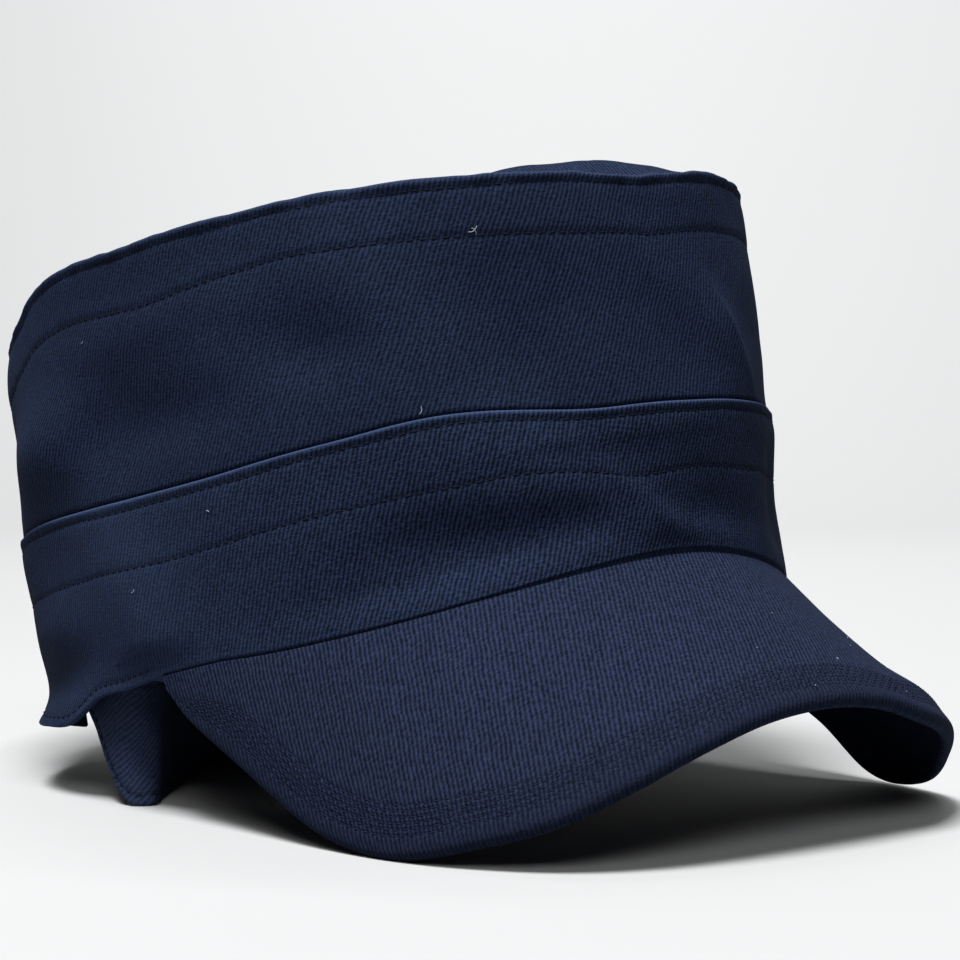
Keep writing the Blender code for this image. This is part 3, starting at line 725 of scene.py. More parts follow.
def twill(name, base, rib_deg, pitch=RIB_PITCH, bump=0.34, rough=0.9, sheen=0.012, grain=1.0):
    """Dyed cotton twill. rib_deg is the ribs' direction in the cloth's frame."""
    m = bpy.data.materials.new(name)
    n = Net(node_group(m))
    uv = n.new("ShaderNodeUVMap", uv_map="cloth").outputs[0]
    obj = n.new("ShaderNodeTexCoord").outputs["Object"]
    # the yarns wander a little
    warp = n.new("ShaderNodeTexNoise")
    n.put(warp.inputs["Vector"], uv)
    warp.inputs["Scale"].default_value = 160.0
    warp.inputs["Detail"].default_value = 2.0
    off = n.new("ShaderNodeVectorMath", operation="MULTIPLY_ADD")
    n.put(off.inputs[0], warp.outputs["Color"])
    off.inputs[1].default_value = (0.0009, 0.0009, 0.0)
    n.put(off.inputs[2], uv)
    sep = n.new("ShaderNodeSeparateXYZ")
    n.link(off.outputs[0], sep.inputs[0])
    x, y = sep.outputs[0], sep.outputs[1]
    a = math.radians(rib_deg)
    across = n.math("MULTIPLY_ADD", x, math.sin(a) / (pitch * MM), n.math("MULTIPLY", y, -math.cos(a) / (pitch * MM)))
    along = n.math("MULTIPLY_ADD", x, math.cos(a) / (0.62 * MM), n.math("MULTIPLY", y, math.sin(a) / (0.62 * MM)))
    rib = n.math("MULTIPLY_ADD", n.math("SINE", n.math("MULTIPLY", across, 2.0 * math.pi)), 0.5, 0.5)
    # each rib is a chain of short floats, stepped from rib to rib
    step = n.math("MULTIPLY", n.math("FLOOR", n.math("ADD", across, 0.25)), 0.37)
    seg = n.math("MULTIPLY_ADD", n.math("SINE", n.math("MULTIPLY", n.math("ADD", along, step), 2.0 * math.pi)), 0.5, 0.5)
    fine = n.noise(uv, 4200.0, 1.0, 0.6)
    # floats of uneven length and yarn of uneven thickness
    slub = n.new("ShaderNodeMapping")
    n.put(slub.inputs["Vector"], uv)
    slub.inputs["Rotation"].default_value = (0.0, 0.0, -a)
    slub.inputs["Scale"].default_value = (0.42, 1.0, 1.0)
    float_ = n.noise(slub.outputs[0], 1750.0, 1.0, 0.5)
    yarn = n.noise(slub.outputs[0], 420.0, 2.0, 0.5)
    height = n.math("MULTIPLY_ADD", rib, 0.62, n.math("MULTIPLY_ADD", seg, 0.08, n.math("MULTIPLY_ADD", float_, 0.60, n.math("MULTIPLY", fine, 0.22))))
    cloud = n.noise(obj, 26.0, 3.0, 0.55)
    wear_and_painted_light = n.new("ShaderNodeAttribute", attribute_name="wear_and_painted_light").outputs["Fac"]
    groove_and_painted_shade = n.new("ShaderNodeAttribute", attribute_name="groove_and_painted_shade").outputs["Fac"]
    # the ribs are painted darker in their grooves as painted shade of the weave; the floats, yarn and fine noise vary
    # the tone unevenly
    dark = tuple(v * 0.14 for v in base) + (1.0,)
    light = tuple(v * 0.78 for v in base) + (1.0,)
    tone = n.math("MULTIPLY_ADD", rib, grain * 0.78, n.math("MULTIPLY_ADD", float_, grain * 1.6, n.math("MULTIPLY_ADD", yarn, grain * 0.45, n.math("MULTIPLY_ADD", fine, grain * 0.6, 0.42 - grain * 1.715))), clamp=True)
    colour = n.mix(tone, dark, light)
    shade = n.new("ShaderNodeVectorMath", operation="SCALE")
    n.link(colour, shade.inputs[0])
    n.link(n.math("MULTIPLY_ADD", cloud, 0.34, 0.83), shade.inputs["Scale"])
    colour = shade.outputs[0]
    # mixed toward a lighter navy: edge wear plus painted highlight on edges that catch the light, and painted light
    # on the band's side that faces the light
    colour = n.mix(n.math("MULTIPLY", wear_and_painted_light, 0.6, clamp=True), colour, tuple(v * 1.3 + 0.002 for v in base) + (1.0,))
    # mixed toward a tenth of the navy: painted shade along the stitch rows, in the seam over the band's edge and
    # round the peak's downturned rim
    colour = n.mix(n.math("MULTIPLY", groove_and_painted_shade, 0.55, clamp=True), colour, tuple(v * 0.10 for v in base) + (1.0,))
    p = n.new("ShaderNodeBsdfPrincipled")
    n.link(colour, p.inputs["Base Color"])
    n.link(n.math("MULTIPLY_ADD", cloud, 0.14, rough - 0.06), p.inputs["Roughness"])
    p.inputs["Specular IOR Level"].default_value = 0.025
    p.inputs["Sheen Weight"].default_value = sheen
    p.inputs["Sheen Roughness"].default_value = 0.45
    p.inputs["Sheen Tint"].default_value = (0.30, 0.45, 0.95, 1.0)
    b = n.new("ShaderNodeBump")
    b.inputs["Strength"].default_value = 0.9
    b.inputs["Distance"].default_value = bump * MM
    n.link(height, b.inputs["Height"])
    n.link(b.outputs[0], p.inputs["Normal"])
    out = n.new("ShaderNodeOutputMaterial")
    n.link(p.outputs[0], out.inputs[0])
    return m


def plain(name, colour, rough, sheen=0.0, noise_scale=0.0, bump=0.0, shine=0.25):
    m = bpy.data.materials.new(name)
    n = Net(node_group(m))
    p = n.new("ShaderNodeBsdfPrincipled")
    p.inputs["Base Color"].default_value = (*colour, 1.0)
    p.inputs["Roughness"].default_value = rough
    p.inputs["Specular IOR Level"].default_value = shine
    p.inputs["Sheen Weight"].default_value = sheen
    if noise_scale:
        obj = n.new("ShaderNodeTexCoord").outputs["Object"]
        f = n.noise(obj, noise_scale, 2.0)
        n.link(n.mix(f, tuple(v * 0.6 for v in colour) + (1.0,), tuple(v * 1.4 for v in colour) + (1.0,)), p.inputs["Base Color"])
        if bump:
            b = n.new("ShaderNodeBump")
            b.inputs["Distance"].default_value = bump * MM
            n.link(f, b.inputs["Height"])
            n.link(b.outputs[0], p.inputs["Normal"])
    out = n.new("ShaderNodeOutputMaterial")
    n.link(p.outputs[0], out.inputs[0])
    return m


NAVY = (0.0160, 0.0256, 0.0580)
# the peak is the same navy, painted lighter where its upward face takes more light
PEAK_NAVY_PAINTED_LIT = (0.0190, 0.0276, 0.0610)
WALL_RIB = 65.3
BAND_RIB = 70.0
cloth_crown = twill("twill_crown", NAVY, WALL_RIB, bump=0.23, grain=0.68)
cloth_top = twill("twill_top", NAVY, 63.3)
cloth_band = twill("twill_band", NAVY, BAND_RIB, bump=0.28, grain=0.95)
cloth_peak = twill("twill_peak", PEAK_NAVY_PAINTED_LIT, 90.0 + 29.0, pitch=1.05, bump=0.30, grain=0.85)
# the strap is the same navy painted much lighter, standing in for the light on its lit face
cloth_strap = twill("twill_strap", (0.0300, 0.0430, 0.0900), 58.0, bump=0.18, grain=0.45)
thread = plain("thread", (0.0024, 0.0038, 0.0100), 0.75, noise_scale=2600.0, bump=0.05, shine=0.08)
thread_peak = plain("thread_peak", (0.0060, 0.0095, 0.0230), 0.75, noise_scale=2600.0, bump=0.05, shine=0.08)
lint_m = plain("lint", (0.25, 0.27, 0.31), 0.9)


# =================================================================== pieces
def section_arrays(P_out, P_in, *pairs):
    """Joins outer and inner rows into one loop; the rim rows are shared."""
    P = np.concatenate([P_out, P_in[:, ::-1][:, 1:-1]], 1)
    joined = [np.concatenate([a, b[:, ::-1][:, 1:-1]], 1) for a, b in pairs]
    return P, joined


def pick(n_rows, steps, every):
    """Rows kept on the unseen face: the rounded rims and one in a few."""
    keep = list(range(0, steps + 1)) + list(range(steps + 1, n_rows - steps - 1, every)) + list(range(n_rows - steps - 1, n_rows))
    return np.array(sorted(set(keep)))


def make_crown():
    T = columns_between(0.0, 360.0, 861)[:-1]
    half = 0.5 * WALL_T
    x = body(T, 0.0 * T + RINGS[1][1])[:, 0]
    arch = np.where(np.sin(np.radians(T)) > 0, arch_height(x), 0.0)
    low = np.maximum(RINGS[1][1] - WALL_BEHIND_BAND, arch)
    high = top_height(T) + 0.30 * ring_wander(T, 12.0, 51) + 0.16 * ring_wander(T, 4.1, 52) - 0.1
    steps, rows = 4, 82
    d, f = rim_profile(high - low, half, rows, steps)
    z = low[:, None] + d
    t = np.repeat(T[:, None], z.shape[1], 1)
    outer = crown_point(t, z, half - half * f)
    keep = pick(z.shape[1], steps, 8)
    zi, ti, fi = z[:, keep], t[:, keep], f[:, keep]
    inner = crown_point(ti, zi, half + half * fi, relief=False)
    inner[:, 0], inner[:, -1] = outer[:, 0], outer[:, -1]
    u = np.repeat(arc(T)[:, None], z.shape[1], 1)
    uv_o = np.stack([u, z], -1)
    uv_i = np.stack([u[:, keep], zi], -1)
    depth = high[:, None] - z
    # lighter at the top edge: wear plus painted highlight where the rolled edge catches the light
    wear_and_painted_light = 0.75 * np.exp(-((depth - 0.35) / 0.55) ** 2)
    # painted shade along both stitch rows and in the seam just over the band's edge
    groove_and_painted_shade = (np.exp(-((z - top_row(t)) / 0.42) ** 2) + 0.8 * np.exp(-((z - under_top_row(t)) / 0.36) ** 2)
              + 0.2 * np.exp(-((z - band_edge(t) - 0.2) / 0.5) ** 2))
    P, (uv, w, g) = section_arrays(outer, inner, (uv_o, uv_i), (wear_and_painted_light, 0 * zi), (groove_and_painted_shade, 0 * zi))
    return loop_grid("crown_cloth", to_world(P), uv, {"wear_and_painted_light": w, "groove_and_painted_shade": np.clip(g, 0, 1)}, True, cloth_crown, AROUND_MM)


def make_band():
    count, extra = 850, 5
    start, stop = 112.0, 428.0
    T = columns_between(start, stop, count)
    s = (T - start) / (stop - start)
    half = 0.5 * BAND_T
    steps, rows = 5, 78
    share = np.linspace(0.0, 1.0, 41)
    hem66 = float(hem_height(np.array([66.0]))[0])
    z_end = hem66 * (1.0 - share) + RINGS[1][1] * share
    t0, t1 = arch_angle(z_end, -1), arch_angle(z_end, 1) + 360.0
    # rounded ends: the thickness runs out over the last columns
    ang = np.linspace(0.0, math.pi / 2, extra + 1)
    end_mm = half * (1.0 - np.cos(ang))
    end_deg = end_mm * 360.0 / AROUND_MM
    thick = np.ones(count)

    def place(share_v, s_col):
        a, b = np.interp(share_v, share, t0), np.interp(share_v, share, t1)
        return a + (b - a) * s_col

    s_full = s.copy()
    span = stop - start
    s_full[:extra + 1] = end_deg / span
    s_full[-extra - 1:] = 1.0 - end_deg[::-1] / span
    s_full = np.sort(s_full)
    thick[:extra + 1] = np.sin(ang)
    thick[-extra - 1:] = np.sin(ang)[::-1]
    mid_t = place(np.full(count, 0.5), s_full)
    hem = hem_height(place(np.zeros(count), s_full))
    edge = band_edge(place(np.ones(count), s_full))
    d, f = rim_profile(edge - hem, half, rows, steps, 0.45, 0.5)
    sv = d / (edge - hem)[:, None]
    t = place(sv, s_full[:, None])
    low = hem_height(t)
    up = band_edge(t)
    z = low + (up - low) * sv
    f = f * thick[:, None]
    # over the peak the turned-in cloth reaches down behind the peak's edge
    tuck = 1.6 * smooth(200.0 - np.abs(angle_gap(t, 270.0)), 110.0, 114.0) * np.exp(-d / 1.5)
    first = np.arange(z.shape[1])[None, :] == 0
    outer = band_point(t, z - 0.5 * tuck * first, half - half * f)
    keep = pick(z.shape[1], steps, 8)
    inner = band_point(t[:, keep], (z - tuck)[:, keep], half + half * f[:, keep], relief=False)
    inner[:, 0], inner[:, -1] = outer[:, 0], outer[:, -1]
    uv_o = np.stack([arc(t), z], -1)
    uv_i = uv_o[:, keep]
    # painted highlight along the folded upper edge, lighter along the hem's fold, and painted light over the band
    # round 176 degrees, the side that faces the light
    wear_and_painted_light = 1.6 * np.exp(-((up - z - 0.2) / 0.5) ** 2) + 0.35 * np.exp(-((z - low - 0.3) / 0.6) ** 2)
    wear_and_painted_light = wear_and_painted_light + 0.34 * np.exp(-(angle_gap(t, 176.0) / 20.0) ** 2)
    # painted shade along the edge row and the middle row
    groove_and_painted_shade = (np.exp(-((z - edge_row(t)) / 0.42) ** 2) + 0.85 * np.exp(-((z - mid_row(t)) / 0.36) ** 2))
    P, (uv, w, g) = section_arrays(outer, inner, (uv_o, uv_i), (wear_and_painted_light, 0 * t[:, keep]), (groove_and_painted_shade, 0 * t[:, keep]))
    return loop_grid("band_cloth", to_world(P), uv, {"wear_and_painted_light": w, "groove_and_painted_shade": np.clip(g, 0, 1)}, False, cloth_band)


def top_surface(deg, v):
    """Level-frame points of the top panel's upper face."""
    edge_z = top_height(deg) - TOP_SEAM_DEPTH
    edge = body(deg, edge_z, -(BAND_PROUD + WALL_T + GAP))
    mid = np.array([0.0, RINGS[2][4], 0.0])
    p = mid + (edge - mid) * v[..., None]
    mean = RINGS[2][1] - TOP_SEAM_DEPTH + 1.0
    z = edge_z * v * v + mean * (1.0 - v * v) + TOP_DOME * (1.0 - v ** 4)
    for _, around, outward, up, spread_a, spread_o in PUFFS:
        da = angle_gap(deg, around) / spread_a
        do = (v - outward) / spread_o
        z = z + up * np.exp(-(da * da + do * do)) * (1.0 - v ** 12)
    u = arc(deg)
    fade = smooth(v, 0.0, 0.3) * (1.0 - smooth(v, 0.97, 1.0))
    z = z + fade * 0.5 * wander2(p[..., 0] + 200, p[..., 1] + 200, 21.0, 17.0, 61)
    near_edge = np.exp(-((1.0 - v) * 85.0 / 7.0) ** 2)
    z = z + near_edge * (1.0 - smooth(v, 0.985, 1.0)) * (0.55 * ring_wander(deg, 7.0, 62) + 0.25 * ring_wander(deg, 3.0, 63))
    p[..., 2] = z
    return p


def make_top():
    nu = 560
    T = np.linspace(0.0, 360.0, nu + 1)[:-1]
    ang = np.linspace(0.0, math.pi / 2, 5)
    half = 0.5 * WALL_T
    radius = 85.0
    rim = 1.0 - half * (1.0 - np.cos(ang)) / radius
    v_out = np.concatenate([np.linspace(0.02, 0.80, 26), np.linspace(0.81, rim[-1] - 0.004, 26), rim[::-1]])
    f_out = np.concatenate([np.ones(52), np.sin(ang)[::-1]])
    v_in = np.concatenate([rim[1:], np.linspace(0.95, 0.03, 10)])
    f_in = -np.concatenate([np.sin(ang)[1:], np.ones(10)])
    v = np.concatenate([v_out, v_in])
    f = np.concatenate([f_out, f_in])
    t = np.repeat(T[:, None], len(v), 1)
    V = np.repeat(v[None, :], nu, 0)
    P = top_surface(t, V)
    P[..., 2] += half + half * f[None, :]
    centre = top_surface(np.array([0.0]), np.array([0.0]))[0]
    a, b = centre + [0, 0, WALL_T], centre.copy()
    uv = P[..., :2].copy()
    # lighter toward the rim: wear plus painted highlight on the rolled edge
    wear_and_painted_light = 0.3 * np.exp(-((1.0 - V) * 85.0 / 2.0) ** 2)
    groove_and_painted_shade = 0.0 * V
    return pole_grid("top_cloth", to_world(P), to_world(a[None])[0], to_world(b[None])[0], uv, centre[:2], centre[:2],
                     {"wear_and_painted_light": wear_and_painted_light, "groove_and_painted_shade": groove_and_painted_shade}, cloth_top)


def outline_at(share):
    """The peak's outer edge in the flat, share -1 to 1."""
    share = np.asarray(share, float)
    right = curve_through([(-r[1], r[2]) for r in PEAK_OUTLINE], np.abs(share))
    left = curve_through([(r[3], r[4]) for r in PEAK_OUTLINE], np.abs(share))
    return np.where((share < 0)[:, None], right, left)


def peak_frame(share):
    """Edge point, inward unit normal and seam point in the flat, per column."""
    E = outline_at(share)
    step = 0.002
    tang = outline_at(np.clip(share + step, -1, 1)) - outline_at(np.clip(share - step, -1, 1))
    tang /= np.linalg.norm(tang, axis=1)[:, None]
    inward = np.stack([tang[:, 1], -tang[:, 0]], -1)
    W = share * QUARTER
    seam = np.stack([W, seam_edge(W) - 0.5 * PEAK_RIM], -1)
    toward = ((seam - E) * inward).sum(1)
    inward = np.where((toward < 0)[:, None], -inward, inward)
    return E, inward, seam, np.abs(toward)


def peak_relief(d, w, l, share):
    """Height of the peak's upper face over the board, d mm from the edge."""
    out = 0.10 * wander2(w + 300, l + 300, 24.0, 18.0, 71) + 0.05 * wander2(w + 300, l + 300, 8.0, 8.0, 72)
    out = out + 0.30 * np.exp(-((d - 2.2) / 2.0) ** 2)
    last = PEAK_FIRST_ROW + (PEAK_ROWS - 1) * PEAK_ROW_PITCH
    zone = smooth(d, PEAK_FIRST_ROW - 0.9, PEAK_FIRST_ROW) * (1.0 - smooth(d, last, last + 0.9))
    wave = np.cos((d - PEAK_FIRST_ROW) / PEAK_ROW_PITCH * 2.0 * math.pi)
    u = w + 0.6 * l
    out = out - zone * (0.09 + 0.09 * wave) * (1.0 + 0.35 * wander(u + 400, 2.4, 73))
    return out


def make_peak():
    nu = 600
    share = np.linspace(-1.0, 1.0, nu)
    E, inward, seam, reach = peak_frame(share)
    half = 0.5 * PEAK_T
    zone = 12.6
    fit = np.minimum(1.0, 0.72 * reach / zone)
    ang = np.linspace(0.0, math.pi / 2, 8)
    rim_d, rim_f = half * (1.0 - np.cos(ang)), np.sin(ang)
    fine_d = np.linspace(half, zone, 48)[1:]
    d = np.concatenate([rim_d, fine_d])
    f = np.concatenate([rim_f, np.ones(len(fine_d))])
    flat = E[:, None, :] + inward[:, None, :] * (d[None, :, None] * fit[:, None, None])
    inner_rows = np.concatenate([np.linspace(0.0, 1.0, 46)[1:-1], [0.994, 1.0]])
    k = inner_rows[None, :, None]
    rest = flat[:, -1:, :] * (1.0 - k) + seam[:, None, :] * k
    flat = np.concatenate([flat, rest], 1)
    dist = np.concatenate([np.repeat(d[None, :], nu, 0), zone + np.linalg.norm(rest - flat[:, len(d) - 1:len(d)], axis=2)], 1)
    F = np.concatenate([f, np.ones(46)])
    # the hidden edge at the seam is nearly square
    F[-1], F[-2] = 0.0, 0.96
    W, L = flat[..., 0], flat[..., 1]
    relief = peak_relief(dist, W, L, share[:, None])
    small = fit[:, None]
    rimmed = np.where(np.arange(len(F))[None, :] < len(rim_d), F[None, :], np.where(F[None, :] < 1, F[None, :], 1.0))
    upper = on_bend(W, L, -half + half * rimmed + relief * rimmed * small)
    keep = np.array(sorted(set(list(range(0, 8)) + list(range(8, len(d), 3)) + list(range(len(d), len(F), 4)) + [len(F) - 2, len(F) - 1])))
    lower = on_bend(W[:, keep], L[:, keep], -half - half * rimmed[:, keep] - 0.25 * relief[:, keep] * rimmed[:, keep] * small)
    lower[:, 0], lower[:, -1] = upper[:, 0], upper[:, -1]
    uv_o = flat
    # lighter along the rolled edge: wear plus painted highlight
    wear_and_painted_light = 0.25 * np.exp(-((dist - 1.2) / 1.4) ** 2)
    rows = np.zeros_like(dist)
    for i in range(PEAK_ROWS):
        rows = rows + np.exp(-((dist - PEAK_FIRST_ROW - i * PEAK_ROW_PITCH) / 0.22) ** 2)
    # painted shade along the stitch rows, and more toward the edge where the rim turns down, away from the light
    groove_and_painted_shade = 0.24 * rows + 0.40 * (1.0 - smooth(dist, 7.0, 15.0)) + 0.75 * (1.0 - smooth(dist, 0.5, 6.0))
    P, (uv, wr, g) = section_arrays(upper, lower, (uv_o, flat[:, keep]), (wear_and_painted_light, 0 * wear_and_painted_light[:, keep]), (groove_and_painted_shade, 0 * wear_and_painted_light[:, keep]))
    return loop_grid("peak_cloth", to_world(P), uv, {"wear_and_painted_light": wr, "groove_and_painted_shade": np.clip(g, 0, 1)}, False, cloth_peak)


def strap_mid(u, v):
    """Points of the strap's middle surface in the table frame, mm."""
    a = curve_through([r[1:4] for r in STRAP], u)
    b = curve_through([r[4:7] for r in STRAP], u)
    return a + (b - a) * v[..., None]


def strap_point(u, v, lift):
    e = 1e-3
    p = strap_mid(u, v)
    du = strap_mid(np.clip(u + e, 0, 1), v) - strap_mid(np.clip(u - e, 0, 1), v)
    dv = strap_mid(u, np.clip(v + e, 0, 1)) - strap_mid(u, np.clip(v - e, 0, 1))
    n = np.cross(du, dv)
    n /= np.linalg.norm(n, axis=-1)[..., None]
    return p + n * lift[..., None], n


def strap_world(p):
    q = (p - np.array([FOOTPRINT_X, FOOTPRINT_Y, 0.0])) * MM
    q[..., 2] = np.maximum(q[..., 2], 0.0)
    return q


STRAP_MM = float(np.linalg.norm(np.diff(strap_mid(np.linspace(0, 1, 400), np.full(400, 0.5)), axis=0), axis=1).sum())
STRAP_WIDE = 28.6


def make_strap():
    nu, rows, steps = 420, 34, 4
    half = 0.5 * STRAP_T
    ang = np.linspace(0.0, math.pi / 2, 5)
    ends = half * (1.0 - np.cos(ang)) / STRAP_MM
    u = np.concatenate([ends, np.linspace(ends[-1], 1.0 - ends[-1], nu)[1:-1], 1.0 - ends[::-1]])
    thick = np.concatenate([np.sin(ang), np.ones(nu - 2), np.sin(ang)[::-1]])
    d, f = rim_profile(np.full(len(u), STRAP_WIDE), half, rows, steps)
    v = d / STRAP_WIDE
    U = np.repeat(u[:, None], v.shape[1], 1)
    F = f * thick[:, None]
    w = v * STRAP_WIDE
    s = U * STRAP_MM
    relief = 0.14 * wander2(s + 50, w + 50, 14.0, 11.0, 81) + 0.05 * wander2(s + 50, w + 50, 4.0, 4.0, 82)
    for row in (2.4, STRAP_WIDE - 2.4):
        relief = relief - 0.2 * np.exp(-((w - row) / 0.5) ** 2) + 0.05 * wander(s, 2.4, 83) * np.exp(-((w - row) / 2.4) ** 2)
    A, _ = strap_point(U, v, half * F + relief * F)
    keep = pick(v.shape[1], steps, 2)
    B, _ = strap_point(U[:, keep], v[:, keep], -half * F[:, keep] + relief[:, keep] * F[:, keep])
    B[:, 0], B[:, -1] = A[:, 0], A[:, -1]
    uv_o = np.stack([s, w], -1)
    # lighter along both edges: wear plus painted highlight
    wear_and_painted_light = 0.35 * (np.exp(-(w / 0.8) ** 2) + np.exp(-((STRAP_WIDE - w) / 0.8) ** 2))
    # painted shade along the two stitch rows
    groove_and_painted_shade = np.exp(-((w - 2.4) / 0.4) ** 2) + np.exp(-((w - STRAP_WIDE + 2.4) / 0.4) ** 2)
    P, (uv, wr, g) = section_arrays(A, B, (uv_o, uv_o[:, keep]), (wear_and_painted_light, wear_and_painted_light[:, keep]), (groove_and_painted_shade, groove_and_painted_shade[:, keep]))
    return loop_grid("strap_cloth", strap_world(P), uv, {"wear_and_painted_light": wr, "groove_and_painted_shade": g}, False, cloth_strap)


# ------------------------------------------------------------------ stitches
LIFT = np.array([-0.26, 0.06, 0.13, 0.06, -0.26])
FAT = np.array([0.70, 1.0, 1.08, 1.0, 0.70])


def threads(name, P, N, radius=THREAD_R, lift=LIFT, fat=FAT, sides=6, material=None):
    """Small closed tubes; P, N are (count, stations, 3) in metres."""
    count, st = P.shape[:2]
    T = np.gradient(P, axis=1)
    T /= np.linalg.norm(T, axis=2)[..., None]
    S = np.cross(N, T)
    S /= np.linalg.norm(S, axis=2)[..., None]
    Nn = np.cross(T, S)
    C = P + Nn * (lift * MM)[None, :, None]
    a = np.linspace(0.0, 2.0 * math.pi, sides, endpoint=False)
    ring = (S[:, :, None, :] * np.cos(a)[None, None, :, None] + Nn[:, :, None, :] * np.sin(a)[None, None, :, None])
    V = C[:, :, None, :] + ring * (radius * MM * fat)[None, :, None, None]
    co = V.reshape(-1, 3)
    per = st * sides
    i, j = np.meshgrid(np.arange(st - 1), np.arange(sides), indexing="ij")
    i, j = i.ravel(), j.ravel()
    q = np.stack([i * sides + j, i * sides + (j + 1) % sides, (i + 1) * sides + (j + 1) % sides, (i + 1) * sides + j], -1)
    base = (np.arange(count) * per)[:, None, None]
    quads = (q[None] + base).reshape(-1, 4)
    caps = [(np.arange(sides)[::-1][None, :] + base[:, 0]).reshape(-1, sides),
            ((st - 1) * sides + np.arange(sides)[None, :] + base[:, 0]).reshape(-1, sides)]
    one = (q[None] + base[:1]).reshape(-1, 4)
    if volume_of(co, one) < 0:
        quads, caps = quads[:, ::-1], [c[:, ::-1] for c in caps]
    return put(name, co, [quads] + caps, None, None, material or thread)


def wall_normals(point, deg, z):
    e = 0.12
    du = point(deg + e, z) - point(deg - e, z)
    dz = point(deg, z + e) - point(deg, z - e)
    n = np.cross(du, dz)
    return n / np.linalg.norm(n, axis=-1)[..., None]


def turn(n):
    """Level-frame directions to the scene's."""
    c, s = math.cos(math.radians(LEAN_BACK_DEG)), math.sin(math.radians(LEAN_BACK_DEG))
    return np.stack([n[..., 0], n[..., 1] * c + n[..., 2] * s, -n[..., 1] * s + n[..., 2] * c], -1)


def stations(start, stop, pitch, length, seed):
    """(count, 5) places along a row of stitches."""
    count = int((stop - start) / pitch)
    r = np.random.RandomState(seed)
    first = start + pitch * (np.arange(count) + 0.1) + r.uniform(-0.12, 0.12, count)
    long_ = length * (1.0 + r.uniform(-0.08, 0.08, count))
    return first[:, None] + long_[:, None] * np.array([0.0, 0.22, 0.5, 0.78, 1.0])[None, :]


def wall_stitches(point, row, start_deg, stop_deg, seed, pitch=STITCH_PITCH, length=STITCH_LENGTH):
    u = stations(float(arc(start_deg)), float(arc(stop_deg)), pitch, length, seed)
    deg = at_arc(u)
    z = row(deg)
    r = np.random.RandomState(seed + 500).uniform(-0.09, 0.09, (len(u), 1))
    z = z + r * np.array([1.0, 0.5, 0.0, -0.5, -1.0])[None, :]
    return to_world(point(deg, z)), turn(wall_normals(point, deg, z))


def join_rows(*rows):
    return np.concatenate([r[0] for r in rows]), np.concatenate([r[1] for r in rows])


def make_stitches():
    made = []
    made.append(threads("crown_stitches", *join_rows(
        wall_stitches(crown_point, top_row, 0.0, 359.5, 1),
        wall_stitches(crown_point, under_top_row, 0.0, 359.5, 2)), material=thread))
    edge = float(arch_angle(np.array([RINGS[1][1] - 3.0]), -1)[0])
    mid = float(arch_angle(np.array([30.0]), -1)[0])
    low = float(arch_angle(np.array([5.0]), -1)[0])
    made.append(threads("band_stitches", *join_rows(
        wall_stitches(band_point, edge_row, edge + 4.0, 536.0 - edge, 3),
        wall_stitches(band_point, mid_row, mid + 4.0, 536.0 - mid, 4),
        wall_stitches(band_point, hem_row, low + 4.0, 182.5, 5),
        wall_stitches(band_point, hem_row, 357.0, 536.0 - low, 6),
        wall_stitches(band_point, lambda t: hem_height(t) + 6.2, 173.5, 182.5, 7)), material=thread))
    # peak
    share = np.linspace(-0.985, 0.985, 1600)
    E, inward, seam, reach = peak_frame(share)
    zone = 12.6
    fit = np.minimum(1.0, 0.72 * reach / zone)
    rows = []
    for i in range(PEAK_ROWS):
        d = PEAK_FIRST_ROW + i * PEAK_ROW_PITCH
        line = E + inward * (d * fit)[:, None]
        s = np.concatenate([[0.0], np.cumsum(np.linalg.norm(np.diff(line, axis=0), axis=1))])
        at = stations(0.0, s[-1], 2.5, 2.05, 20 + i)
        least = 0.50 if i % 2 else 0.32
        at = at[np.interp(at[:, 2], s, fit) > least]
        w, l = np.interp(at, s, line[:, 0]), np.interp(at, s, line[:, 1])
        k = np.interp(at, s, fit)
        lift = peak_relief(np.full_like(w, d), w, l, None) * k
        p = on_bend(w, l, lift)
        e = 0.2
        n = np.cross(on_bend(w + e, l, lift) - on_bend(w - e, l, lift), on_bend(w, l + e, lift) - on_bend(w, l - e, lift))
        n /= np.linalg.norm(n, axis=-1)[..., None]
        up = on_bend(w, l, lift + 1.0) - p
        n = np.where(((n * up).sum(-1) < 0)[..., None], -n, n)
        rows.append((to_world(p), turn(n)))
    made.append(threads("peak_stitches", *join_rows(*rows), radius=0.12, material=thread_peak))
    # strap, both faces of both edges
    rows = []
    for k, (w, side) in enumerate(((2.4, 1), (2.4, -1), (STRAP_WIDE - 2.4, 1), (STRAP_WIDE - 2.4, -1))):
        at = stations(3.0, STRAP_MM - 3.0, 2.7, 2.1, 40 + k) / STRAP_MM
        v = np.full_like(at, w / STRAP_WIDE)
        p, n = strap_point(at, v, np.full_like(at, side * (0.5 * STRAP_T) - 0.15))
        rows.append((strap_world(p), n * side))
    made.append(threads("strap_stitches", *join_rows(*rows), material=thread))
    return made


